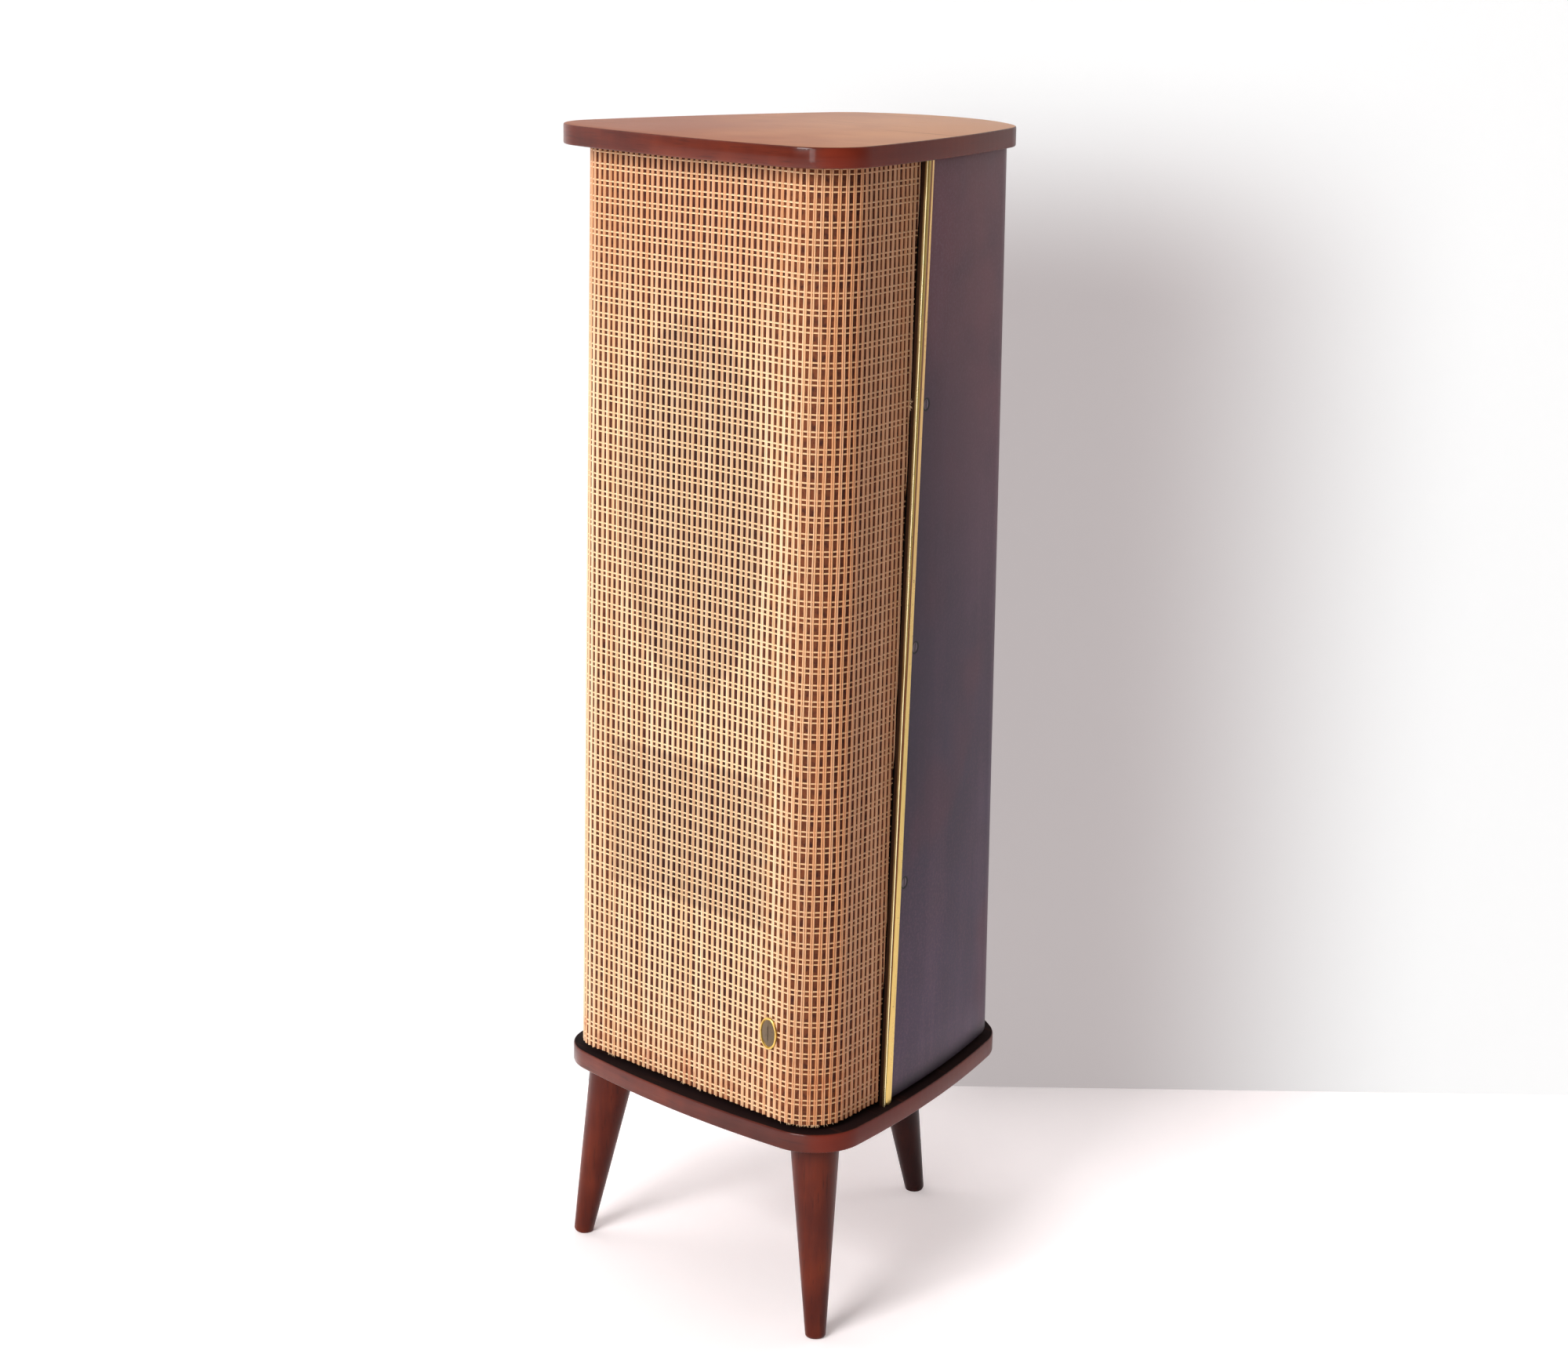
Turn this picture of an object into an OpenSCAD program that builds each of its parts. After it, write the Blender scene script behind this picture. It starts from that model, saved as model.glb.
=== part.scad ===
// Floor-standing loudspeaker column on three splayed legs.
// The cloth-covered front unit stands in a bent rear shell, between two bowed plates.
// Millimetres, +Z up, front towards -Y, origin on the floor under the middle of the plates.

/* [Plates] */
// Width across the front corners, before they are rounded
plate_front_w = 303; // [290:1:320]
// Width across the rear corners, before they are rounded
plate_rear_w = 182; // [170:1:195]
// Depth between the front and the rear corner lines
plate_depth = 264; // [250:1:280]
// Thickness of the top plate and of the base plate
plate_t = 15; // [12:0.5:20]
// Outward bow of the front edge
front_bow = 13; // [8:0.5:18]
// Outward bow of each side edge
side_bow = 9.5; // [6:0.5:14]
// Outward bow of the rear edge
rear_bow = 35; // [28:0.5:40]
// Radius of the two front corners
front_corner_r = 42; // [38:0.5:50]
// Radius of the two rear corners
rear_corner_r = 54; // [45:0.5:60]
// How far the base plate lies behind the top plate
rake = 8; // [0:0.5:14]

/* [Heights] */
// Clear height under the base plate
leg_h = 153; // [130:1:180]
// Dark gap between the base plate and the body
shadow_gap = 4; // [3:0.5:8]
// Height of the body, from its lower edge to the top plate
body_h = 713; // [690:1:740]

/* [Rear shell] */
// Outside of the shell, in from the plates' edge
shell_inset = 6.7; // [5:0.1:9]
// Wall of the shell
shell_t = 8; // [6:0.5:9]
// Front of the brass trim behind the front corner line, at the body's lower edge
edge_y_bottom = 92; // [85:1:100]
// Front of the brass trim behind the front corner line, at the body's upper edge
edge_y_top = 122; // [115:1:130]
// Height of the lowest shell screw above the body's lower edge
shell_screw_h = 171; // [150:1:190]
// Spacing of the shell screws up the side
shell_screw_pitch = 182; // [160:1:200]
// Shell screws behind the brass trim's rear edge
shell_screw_back = 7.5; // [7:0.5:10]

/* [Brass edge trim] */
// Width of the trim's outer band
trim_w = 7; // [5:0.5:9]
// Thickness of the brass
trim_t = 1; // [0.8:0.1:1.4]
// Depth of the trim's front web, from the band's outer face
trim_web = 4.8; // [3:0.1:6]

/* [Front unit] */
// Cloth front behind the front corner line, at the body's lower edge
front_y_bottom = 7; // [5:0.5:10]
// Cloth front behind the front corner line, at the body's upper edge
front_y_top = 14; // [11:0.5:18]
// Sides of the cloth, in from the plates' edge
cloth_inset = 11.5; // [10:0.5:13]
// Radius of the cloth's front corners
cloth_corner_r = 32.5; // [28:0.5:34]
// Thickness of the woven cloth
cloth_t = 1.2; // [0.8:0.1:1.6]
// Thickness of the baffle board
baffle_t = 12; // [10:0.5:16]
// Edge of the baffle board, in from where the cloth's corners start
baffle_edge_in = 2; // [1.5:0.1:4]
// Thickness of the corner posts along the sides
post_t = 12; // [10:0.5:14]
// Gap from the cloth's rear edge to the brass trim
cloth_gap = 2.5; // [1.5:0.1:3.5]

/* [Baffle openings] */
// Width of the oval driver opening
oval_w = 155; // [140:1:160]
// Height of the oval driver opening
oval_h = 281; // [260:1:290]
// Centre of the driver above the body's lower edge
driver_up = 455; // [445:1:465]
// Width of the bass vent
vent_w = 170; // [140:1:180]
// Height of the bass vent
vent_h = 113; // [90:1:125]
// Centre of the bass vent above the body's lower edge
vent_up = 204; // [190:1:210]

/* [Driver] */
// Width of the driver's rim outside the opening
rim_w = 8.5; // [7:0.5:10]
// Depth from the rim to the basket's back
basket_depth = 47; // [44:1:52]
// Radius of the centre pole
pole_r = 12.2; // [10:0.1:13]
// Radial clearance on each side of the voice coil
coil_gap = 0.35; // [0.3:0.05:0.5]
// Wall of the voice coil and its former
coil_wall = 0.9; // [0.7:0.1:1.2]
// Thickness of the paper cone
cone_t = 0.8; // [0.6:0.1:1.2]
// Thickness of the washer in front of the magnet
washer_t = 5; // [4:0.5:6]
// Thickness of the magnet
magnet_t = 15; // [12:0.5:18]
// Radius of the magnet
magnet_r = 36; // [32:0.5:38]
// Thickness of the yoke's back
yoke_t = 5; // [4:0.5:7]
// Free travel that the cone needs each way
cone_travel = 3; // [2:0.5:4]

/* [Legs] */
// Radius of a leg at its top
leg_top_r = 19.3; // [16:0.1:21]
// Radius of a leg at its foot
leg_foot_r = 8; // [7:0.1:11]
// Rounding of a leg's foot
foot_round = 3.5; // [2:0.5:5]
// Front legs from the middle, at their tops
front_leg_x = 112.5; // [105:0.5:118]
// Front legs behind the front corner line, at their tops
front_leg_y = 38; // [34:0.5:44]
// Outward splay of a front leg
front_splay_x = 20; // [0:1:30]
// Forward splay of a front leg
front_splay_y = 16.5; // [0:0.5:25]
// Rear leg behind the front corner line, at its top
rear_leg_y = 246; // [236:1:252]
// Backward splay of the rear leg
rear_splay = 35; // [0:1:45]

/* [Boards and blocks] */
// Thickness of the body's top and bottom boards
board_t = 12; // [10:0.5:15]
// Shadow-gap spacer, in from the base plate's edge
spacer_inset = 24; // [20:1:34]
// Depth of the cleats behind the shell's front edges
cleat_d = 18; // [16:1:24]
// Width of the cleats, inwards
cleat_w = 18; // [16:1:20]

/* [Socket] */
// Centre of the socket plate above the body's lower edge
socket_up = 58; // [50:1:80]
// Distance between the two plug sockets
socket_pitch = 19; // [17:0.5:22]
// Radius of a plug socket's bore
socket_r = 2; // [1.8:0.1:2.4]
// Depth of a plug socket's bore
socket_bore = 14; // [10:0.5:16]
// Height of the window over the sockets
window_h = 24; // [20:1:28]
// Width of the window over the sockets
window_w = 50; // [44:1:56]

/* [Badge] */
// Width of the plain oval badge
badge_w = 17; // [12:1:22]
// Height of the plain oval badge
badge_h = 25; // [16:1:30]
// Thickness of the badge
badge_t = 1.6; // [1:0.1:2.5]
// Centre of the badge, in from where the cloth's right corner starts
badge_in = 12; // [10:1:40]
// Centre of the badge above the body's lower edge
badge_up = 67; // [50:1:90]

/* [Fasteners] */
// Radius of a wood screw's shank
screw_r = 1.9; // [1.5:0.1:2.2]
// Radius of a wood screw's head
screw_head_r = 3.8; // [3.2:0.1:4.5]
// Radius of a leg bolt
bolt_r = 4; // [3:0.5:5]
// Wall of a leg bolt's threaded insert
insert_wall = 2; // [1.5:0.1:3]
// Length of a leg bolt inside its leg
bolt_grip = 34; // [25:1:45]

/* [Hidden] */
$fn = 64;

// Clearances: a bore round its bolt, a board in its shell, a glued joint
bore_gap = 0.1;
board_gap = 0.4;
glue_gap = 0.1;
// A margin for cuts that run past a face
past = 5;
huge = 1000;

// Levels
base_top = leg_h + plate_t;
body_bottom = base_top + shadow_gap;
body_top = body_bottom + body_h;

// The three bows of a plate are arcs; each corner is an arc inside two of them
function bow_radius(chord, rise) = (chord * chord / 4 + rise * rise) / (2 * rise);
function heading(v) = atan2(v[1], v[0]);
function meet(c1, r1, c2, r2) =
    let (d = norm(c2 - c1), u = (c2 - c1) / d, a = (r1 * r1 - r2 * r2 + d * d) / (2 * d))
    c1 + u * a + sqrt(r1 * r1 - a * a) * [-u[1], u[0]];
function mirrored(p) = [-p[0], p[1]];
function backwards(list) = [for (i = [len(list) - 1:-1:0]) list[i]];
function arc(c, r, from, to, n) =
    [for (i = [1:n]) c + r * [cos(from + (to - from) * i / n), sin(from + (to - from) * i / n)]];

front_r = bow_radius(plate_front_w, front_bow);
front_c = [0, front_r - front_bow];
side_from = [plate_front_w / 2, 0];
side_to = [plate_rear_w / 2, plate_depth];
side_chord = norm(side_to - side_from);
side_dir = (side_to - side_from) / side_chord;
side_r = bow_radius(side_chord, side_bow);
side_c = (side_from + side_to) / 2 - [side_dir[1], -side_dir[0]] * (side_r - side_bow);
rear_r = bow_radius(plate_rear_w, rear_bow);
rear_c = [0, plate_depth + rear_bow - rear_r];
front_corner_c = meet(front_c, front_r - front_corner_r, side_c, side_r - front_corner_r);
rear_corner_c = meet(side_c, side_r - rear_corner_r, rear_c, rear_r - rear_corner_r);
front_turn = heading(front_corner_c - front_c);
side_start = heading(front_corner_c - side_c);
side_end = heading(rear_corner_c - side_c);
rear_turn = heading(rear_corner_c - rear_c);

// The origin lies under the middle of the plates, front edge to rear edge
plan_mid_y = (plate_depth + rear_bow + rake - front_bow) / 2;

// Right half of a plate's rear part, in from the edge by d
function rear_half(d) = concat(
    arc(rear_corner_c, rear_corner_r - d, side_end, rear_turn, 10),
    arc(rear_c, rear_r - d, rear_turn, 90, 8));
// Whole outline of a plate, in from the edge by d
function plate_half(d) = concat(
    [front_c - [0, front_r - d]],
    arc(front_c, front_r - d, -90, front_turn, 6),
    arc(front_corner_c, front_corner_r - d, front_turn, side_start, 12),
    arc(side_c, side_r - d, side_start, side_end, 10),
    rear_half(d));
function whole(half) =
    concat(half, [for (i = [len(half) - 2:-1:1]) mirrored(half[i])]);
function plate_outline(d) = whole(plate_half(d));

// The body's sides lean with the plates, its cloth front and its trim have a lean of their own
body_lean = atan(rake / body_h);
front_lean = atan((front_y_top - front_y_bottom) / body_h);
function share(z) = (z - body_bottom) / body_h;
function shift(z) = rake * (1 - share(z));
function front_y(z) = front_y_bottom + (front_y_top - front_y_bottom) * share(z);
function edge_y(z) = edge_y_bottom + (edge_y_top - edge_y_bottom) * share(z);
// Heading from the side's centre to the place on the side, in by d, at height z and depth y
function side_heading(d, z, y) = asin((y - side_c[1] - shift(z)) / (side_r - d));
function on_side(d, z, y) =
    let (a = side_heading(d, z, y)) side_c + [0, shift(z)] + (side_r - d) * [cos(a), sin(a)];

// Centre of the cloth's right corner at height z
function cloth_corner(z) =
    let (
        c = side_c + [0, shift(z)],
        inner = side_r - cloth_inset - cloth_corner_r,
        y = front_y(z) + cloth_corner_r)
    [c[0] + sqrt(inner * inner - pow(y - c[1], 2)), y];
baffle_half_w = min(cloth_corner(body_bottom)[0], cloth_corner(body_top)[0]) - baffle_edge_in;
badge_x = cloth_corner(body_bottom)[0] - badge_in;

// The driver sits on the baffle's rear face
skin = cloth_t + glue_gap;
baffle_back = skin + baffle_t;
rim_t = 1.2;
gasket_t = 3;
paper_t = 0.8;
rim_z = -gasket_t - paper_t;
basket_z = rim_z - rim_t;
basket_end = basket_z - basket_depth + 2;
seat_t = 1.5;
washer_z = basket_end - seat_t;
magnet_z = washer_z - washer_t;
yoke_z = magnet_z - magnet_t;
coil_r = pole_r + coil_gap;
coil_out_r = coil_r + coil_wall;
gap_r = coil_out_r + coil_gap;
washer_r = magnet_r + 2;
foot_r = washer_r + 2;
// Space that the voice coil keeps over the yoke's back at full travel
coil_rest = 3;
coil_low = magnet_z - cone_travel - coil_rest;
neck_z = basket_end + 12;
spider_z = basket_end + 4;
spider_seat_r = washer_r - 2;
cone_edge = 4.5;
surround_in = cone_edge + 5;
cone_root_r = coil_out_r + bore_gap;
cone_flare = 0.45;
cone_mid_z = (neck_z + rim_z) / 2;
oval_steps = 48;
tube_sides = 8;
level_steps = 4;
ear_at = 45;
ear_r = 8;

function oval(w, h, grow) =
    [for (i = [0:oval_steps - 1])
        [(w / 2 + grow) * cos(360 * i / oval_steps), (h / 2 + grow) * sin(360 * i / oval_steps)]];
function oval_ring(grow, z) = [for (p = oval(oval_w, oval_h, grow)) [p[0], p[1], z]];
function round_ring(r, z) =
    [for (i = [0:oval_steps - 1]) [r * cos(360 * i / oval_steps), r * sin(360 * i / oval_steps), z]];
function ear_place(i) =
    let (a = ear_at + 90 * i)
    [(oval_w / 2 + rim_w + 2) * cos(a), (oval_h / 2 + rim_w + 2) * sin(a)];

// Screw places in plan
base_screw_places = [[60, 80], [-60, 80], [45, 205], [-45, 205]];
base_screw_l = plate_t + shadow_gap + board_t - 3;
top_screw_places = [[68, 95], [-68, 95], [45, 205], [-45, 205]];
top_screw_l = board_t + plate_t - 5;
shell_screw_l = 24;
shell_screw_heights = [for (i = [0:2]) body_bottom + shell_screw_h + i * shell_screw_pitch];

// The socket plate stands on a block inside the shell's back
socket_z = body_bottom + socket_up;
socket_margin = 9;
block_w = window_w + 2 * socket_margin;
block_h = window_h + 2 * socket_margin;
block_t = 16;
socket_plate_t = 2.5;
shell_in_y = plate_depth + rear_bow - shell_inset - shell_t + shift(socket_z);
block_y = shell_in_y - block_t;
socket_sleeve = 1.2;
socket_flange_t = 1.5;
lug_l = 7;
lug_t = 1;

// A place on the baffle: to the right, up the board, and out of its front face
function on_board(x, up, z) = [
    x,
    front_y(body_bottom) + skin + up * sin(front_lean) - z * cos(front_lean),
    body_bottom + up * cos(front_lean) + z * sin(front_lean)
];

// Solder tab under the magnet
tab = [24, 16, 1.6];
tab_lug = [4, 9, 0.8];
tab_lug_x = 7;
tab_y = -washer_r - tab[1];
// The tinsel leads rise from the tab through a slot in the basket's lower arm
lead_y = tab_y + tab_lug[1] / 2;
lead_slot = [18, 6, 14];

// Both wires run down the baffle beside the vent, then back along the bottom board
wire_r = 1.1;
wire_apart = 1.4;
wire_bend = 14;
wire_x = -(vent_w / 2 + baffle_half_w) / 2;
wire_out = -baffle_t - wire_r - glue_gap;
wire_floor = body_bottom + board_t + wire_r + glue_gap;
wire_tab_z = washer_z - tab[2] - tab_lug[2] - wire_r - glue_gap - baffle_t;
wire_socket_z = socket_z + lug_t / 2 + wire_r + glue_gap;
wire_vent_top = vent_up + vent_h / 2 + wire_bend;
wire_leave = 16;
wire_aside = 20;
wire_rise_from = 62;
wire_rise_to = 42;
function wire_route(s) = [
    on_board(s * tab_lug_x, driver_up + tab_y, wire_tab_z),
    on_board(s * tab_lug_x, driver_up + tab_y - wire_leave, wire_tab_z),
    on_board(wire_x + s * wire_apart, wire_vent_top, wire_out),
    [wire_x + s * wire_apart, on_board(0, 0, wire_out)[1] + 0.1, wire_floor],
    [-wire_aside + s * wire_apart, block_y - wire_rise_from, wire_floor],
    [s * wire_apart, block_y - wire_rise_to, wire_socket_z],
    [s * socket_pitch / 2, block_y - lug_l - socket_bore + 1, wire_socket_z]
];
clip_ups = [vent_up - vent_h / 2 - 30, vent_up + vent_h / 2 - 8];

// A path with its corners rounded, by arcs that start d before each corner
function rounded(path, d) = concat([path[0]], [
    for (i = [1:len(path) - 2])
        let (
            p = path[i],
            in = path[i - 1] - p,
            out = path[i + 1] - p,
            a = p + in * min(d / norm(in), 0.45),
            b = p + out * min(d / norm(out), 0.45))
        for (t = [0:0.25:1]) a * (1 - t) * (1 - t) + p * 2 * t * (1 - t) + b * t * t
], [path[len(path) - 1]]);

module placed() {
    translate([0, -plan_mid_y, 0]) children();
}

module slab(z0, z1) {
    translate([-huge / 2, -huge / 2, z0]) cube([huge, huge, z1 - z0]);
}

// A solid through rings of the same count; a closed one has no ends, and a crossed one splits
// its four-sided faces along their other diagonal
module skinned(rings, closed = false, crossed = false) {
    n = len(rings[0]);
    m = len(rings);
    ends = closed ? [] : [[for (i = [0:n - 1]) i], [for (i = [n - 1:-1:0]) (m - 1) * n + i]];
    polyhedron(
        points = [for (ring = rings) each ring],
        faces = concat(ends, [
            for (k = [0:closed ? m - 1 : m - 2], i = [0:n - 1], half = [0, 1])
                let (a = k * n, b = (k + 1) % m * n, j = (i + 1) % n)
                crossed
                    ? half == 0 ? [b + i, b + j, a + i] : [b + j, a + j, a + i]
                    : half == 0 ? [b + i, b + j, a + j] : [b + i, a + j, a + i]
        ]));
}

// A panel between two surfaces, each given by its points at the lower and at the upper level
module panel(out_low, out_high, in_low, in_high, crossed = false) {
    skinned([for (i = [0:len(out_low) - 1]) [out_low[i], out_high[i], in_high[i], in_low[i]]],
        crossed = crossed);
}

function raised(outline, z) = [for (p = outline) [p[0], p[1], z]];
function levels(z0, z1) = [for (i = [0:level_steps]) z0 + (z1 - z0) * i / level_steps];

// Rings of a thin tube along points that never run along X
function tube_rings(path, r) =
    let (n = len(path))
    [for (i = [0:n - 1])
        let (
            d = path[min(i + 1, n - 1)] - path[max(i - 1, 0)],
            t = d / norm(d),
            side = cross(t, [1, 0, 0]) / norm(cross(t, [1, 0, 0])),
            up = cross(t, side))
        [for (a = [0:360 / tube_sides:359]) path[i] + r * (cos(a) * side + sin(a) * up)]];

// A prism of the plates' outline that leans with the body
module leaning_prism(d, z0, z1) {
    intersection() {
        translate([0, 0, body_top])
            rotate([body_lean, 0, 0])
                translate([0, 0, z0 - body_top - past])
                    linear_extrude(z1 - z0 + 2 * past) polygon(plate_outline(d));
        slab(z0, z1);
    }
}

// All that lies in front of the trim's plane, moved back by d
module ahead_of_edge(d) {
    translate([0, edge_y_bottom + d, body_bottom])
        rotate([-atan((edge_y_top - edge_y_bottom) / body_h), 0, 0])
            translate([-huge / 2, -huge, -huge])
                cube([huge, huge, 2 * huge]);
}

// Countersunk wood screw, head at the origin and point towards +Z
module wood_screw(l) {
    head = screw_head_r - screw_r;
    slot_w = 0.9;
    slot_d = 0.8;
    point = 3 * screw_r;
    difference() {
        rotate_extrude()
            polygon([
                [0, 0], [screw_head_r, 0], [screw_r, head],
                [screw_r, l - point], [0.3, l], [0, l]
            ]);
        translate([-screw_head_r - past, -slot_w / 2, -past])
            cube([2 * (screw_head_r + past), slot_w, slot_d + past]);
    }
}

// The room a wood screw takes, with its clearance
module screw_room(l) {
    head = screw_head_r - screw_r;
    rotate_extrude()
        polygon([
            [0, -past], [screw_head_r + bore_gap, -past], [screw_head_r + bore_gap, bore_gap],
            [screw_r + bore_gap, head + bore_gap], [screw_r + bore_gap, l + 1], [0, l + 1]
        ]);
}

module top_plate() {
    color("#8a4b33")
        placed()
            difference() {
                translate([0, 0, body_top]) linear_extrude(plate_t) polygon(plate_outline(0));
                each_top_screw() screw_room(top_screw_l);
            }
}

module base_plate() {
    color("#8a4b33")
        placed()
            difference() {
                translate([0, rake, leg_h]) linear_extrude(plate_t) polygon(plate_outline(0));
                each_base_screw() screw_room(base_screw_l);
                each_leg_top()
                    translate([0, 0, -past])
                        cylinder(h = plate_t + 2 * past, r = bolt_r + insert_wall + bore_gap);
            }
}

module each_top_screw() {
    for (p = top_screw_places)
        translate([p[0], p[1], body_top - board_t]) children();
}

module each_base_screw() {
    for (p = base_screw_places)
        translate([p[0], p[1], leg_h]) children();
}

module shadow_spacer() {
    color("#141212")
        placed()
            difference() {
                translate([0, rake, base_top])
                    linear_extrude(shadow_gap) polygon(plate_outline(spacer_inset));
                each_base_screw() screw_room(base_screw_l);
            }
}

// Right half of a board's outline between the posts, inside the shell
function board_half(z) =
    let (
        front = front_y(z) + baffle_back + board_gap,
        slim = cloth_inset + skin + post_t + board_gap,
        full = shell_inset + shell_t + board_gap,
        wide_y = edge_y(z) + trim_w,
        narrow_y = front_y(z) + cloth_corner_r + 2 * post_t,
        up = [0, shift(z)])
    concat(
        [[0, front], [baffle_half_w - board_gap * 5, front], on_side(slim, z, narrow_y)],
        arc(side_c + up, side_r - slim, side_heading(slim, z, narrow_y),
            side_heading(slim, z, wide_y), 3),
        [on_side(full, z, wide_y)],
        arc(side_c + up, side_r - full, side_heading(full, z, wide_y), side_end, 6),
        [for (p = rear_half(full)) p + up]);

module bottom_board() {
    color("#c9a878")
        placed()
            difference() {
                translate([0, 0, body_bottom])
                    linear_extrude(board_t) polygon(whole(board_half(body_bottom + board_t)));
                each_base_screw() screw_room(base_screw_l);
            }
}

module top_board() {
    color("#c9a878")
        placed()
            difference() {
                translate([0, 0, body_top - board_t])
                    linear_extrude(board_t) polygon(whole(board_half(body_top)));
                each_top_screw() screw_room(top_screw_l);
            }
}

// Local frame of the baffle: X to the right, Y up the board, Z out of its front face
module on_baffle(up, z) {
    placed()
        translate([0, front_y(body_bottom) + skin, body_bottom])
            rotate([90 - front_lean, 0, 0])
                translate([0, up, z])
                    children();
}

module baffle_board() {
    color("#b8935f")
        intersection() {
            on_baffle(0, -baffle_t)
                linear_extrude(baffle_t)
                    difference() {
                        translate([-baffle_half_w, -past]) square([2 * baffle_half_w, body_h + 2 * past]);
                        translate([0, driver_up]) polygon(oval(oval_w, oval_h, 0));
                        translate([-vent_w / 2, vent_up - vent_h / 2]) square([vent_w, vent_h]);
                        for (i = [0:3])
                            translate([0, driver_up] + ear_place(i)) circle(screw_r - bore_gap);
                    }
            slab(body_bottom + 1, body_top - 1);
        }
}

// Right half of the cloth's surface at height z, in from it by d, from the corner's start
function cloth_half(d, z) =
    let (
        c = side_c + [0, shift(z)],
        corner = cloth_corner(z),
        turn = heading(corner - c),
        r = side_r - cloth_inset - d,
        stop = side_heading(cloth_inset + d, z, edge_y(z) - cloth_gap))
    concat(
        [[corner[0], front_y(z) + d]],
        arc(corner, cloth_corner_r - d, -90, turn, 12),
        arc(c, r, turn, stop, 5));

// One surface of the cloth, from its left rear edge round to its right rear edge
function cloth_surface(d, z) =
    let (half = cloth_half(d, z))
    raised(concat([for (p = backwards(half)) mirrored(p)], half), z);

module grille_cloth() {
    z0 = body_bottom;
    z1 = body_top - 1;
    color("#d8b47c")
        placed()
            panel(cloth_surface(0, z0), cloth_surface(0, z1),
                cloth_surface(cloth_t, z0), cloth_surface(cloth_t, z1));
}

// One surface of a corner post, from the baffle's edge round to the side's rear edge
function post_surface(d, z) =
    raised(concat([[baffle_half_w + glue_gap, front_y(z) + d]], cloth_half(d, z)), z);

// The cloth's inner faces are split one way all round, so the right post's are split the other way
module corner_post(crossed) {
    z0 = body_bottom + 1;
    z1 = body_top - 1;
    color("#c29a63")
        placed()
            panel(post_surface(skin, z0), post_surface(skin, z1),
                post_surface(skin + post_t, z0), post_surface(skin + post_t, z1), crossed);
}

module corner_post_right() {
    corner_post(true);
}

module corner_post_left() {
    mirror([1, 0, 0]) corner_post(false);
}

module badge() {
    rim = 1.2;
    color("#c9a545")
        on_baffle(badge_up, skin + glue_gap)
            translate([badge_x, 0, 0])
                difference() {
                    linear_extrude(badge_t) polygon(oval(badge_w, badge_h, 0));
                    translate([0, 0, badge_t / 2])
                        linear_extrude(badge_t) polygon(oval(badge_w, badge_h, -rim));
                }
}

module rear_shell() {
    edge = trim_t + bore_gap;
    color("#4a3340")
        difference() {
            placed()
                difference() {
                    leaning_prism(shell_inset, body_bottom, body_top);
                    leaning_prism(shell_inset + shell_t, body_bottom - past, body_top + past);
                    ahead_of_edge(edge);
                    socket_window(shell_in_y - past, shell_t + 2 * past);
                }
            each_shell_screw() screw_room(shell_screw_l);
        }
}

// Straight slot with round ends over the two sockets
module socket_window(y, depth) {
    flat = window_w - window_h;
    translate([0, y, socket_z])
        rotate([-90, 0, 0])
            linear_extrude(depth)
                union() {
                    square([flat, window_h], center = true);
                    for (s = [-1, 1])
                        translate([s * flat / 2, 0]) circle(d = window_h);
                }
}

// Section of the brass trim in the side's own directions: along it, and out of it
trim_profile = [
    [0, trim_t - trim_web], [trim_t, trim_t - trim_web], [trim_t, bore_gap],
    [trim_w, bore_gap], [trim_w, trim_t * 0.6], [trim_w * 0.8, trim_t],
    [trim_w * 0.2, trim_t], [0, trim_t * 0.6]
];

function trim_section(z) =
    let (
        a = side_heading(shell_inset, z, edge_y(z)),
        p = on_side(shell_inset, z, edge_y(z)),
        out = [cos(a), sin(a)],
        along = [-sin(a), cos(a)])
    [for (q = trim_profile) p + along * q[0] + out * q[1]];

module edge_trim() {
    color("#d4b158")
        placed()
            skinned([for (z = levels(base_top + 0.5, body_top - 0.5))
                raised(backwards(trim_section(z)), z)]);
}

module edge_trim_right() {
    edge_trim();
}

module edge_trim_left() {
    mirror([1, 0, 0]) edge_trim();
}

// Cleat from the post's end into the shell, which the shell screws enter
function cleat_section(z) =
    let (
        out = shell_inset + shell_t + board_gap,
        y1 = edge_y(z) - cloth_gap + glue_gap,
        y2 = edge_y(z) + trim_w + cleat_d)
    [on_side(out, z, y1), on_side(out, z, y2),
     on_side(out + cleat_w, z, y2), on_side(out + cleat_w, z, y1)];

module side_cleat() {
    color("#c29a63")
        difference() {
            placed()
                skinned([for (z = levels(body_bottom + board_t, body_top - board_t))
                    raised(cleat_section(z), z)]);
            each_shell_screw() screw_room(shell_screw_l);
        }
}

module side_cleat_right() {
    side_cleat();
}

module side_cleat_left() {
    mirror([1, 0, 0]) side_cleat();
}

// Each screw's place on the right side of the shell, with +Z pointing inwards
module each_shell_screw() {
    for (side = [0, 1], z = shell_screw_heights) {
        y = edge_y(z) + trim_w + shell_screw_back;
        p = on_side(shell_inset, z, y);
        mirror([side, 0, 0])
            placed()
                translate([p[0], p[1], z])
                    rotate([0, -90, side_heading(shell_inset, z, y)])
                        translate([0, 0, 0.3])
                            children();
    }
}

module shell_screws() {
    color("#2a2624") each_shell_screw() wood_screw(shell_screw_l);
}

// The legs' tops in plan, and their feet
leg_tops = [
    [-front_leg_x, front_leg_y], [front_leg_x, front_leg_y], [0, rear_leg_y]
];
leg_feet = [
    [-front_leg_x - front_splay_x, front_leg_y - front_splay_y],
    [front_leg_x + front_splay_x, front_leg_y - front_splay_y],
    [0, rear_leg_y + rear_splay]
];

// Local frame of a leg: origin at the foot on the floor, +Z up its axis
module on_leg(i) {
    d = leg_tops[i] - leg_feet[i];
    translate([leg_feet[i][0], leg_feet[i][1], 0])
        rotate([0, atan2(norm(d), leg_h), heading(d)])
            children();
}

function leg_length(i) = norm([norm(leg_tops[i] - leg_feet[i]), leg_h]);

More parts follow.
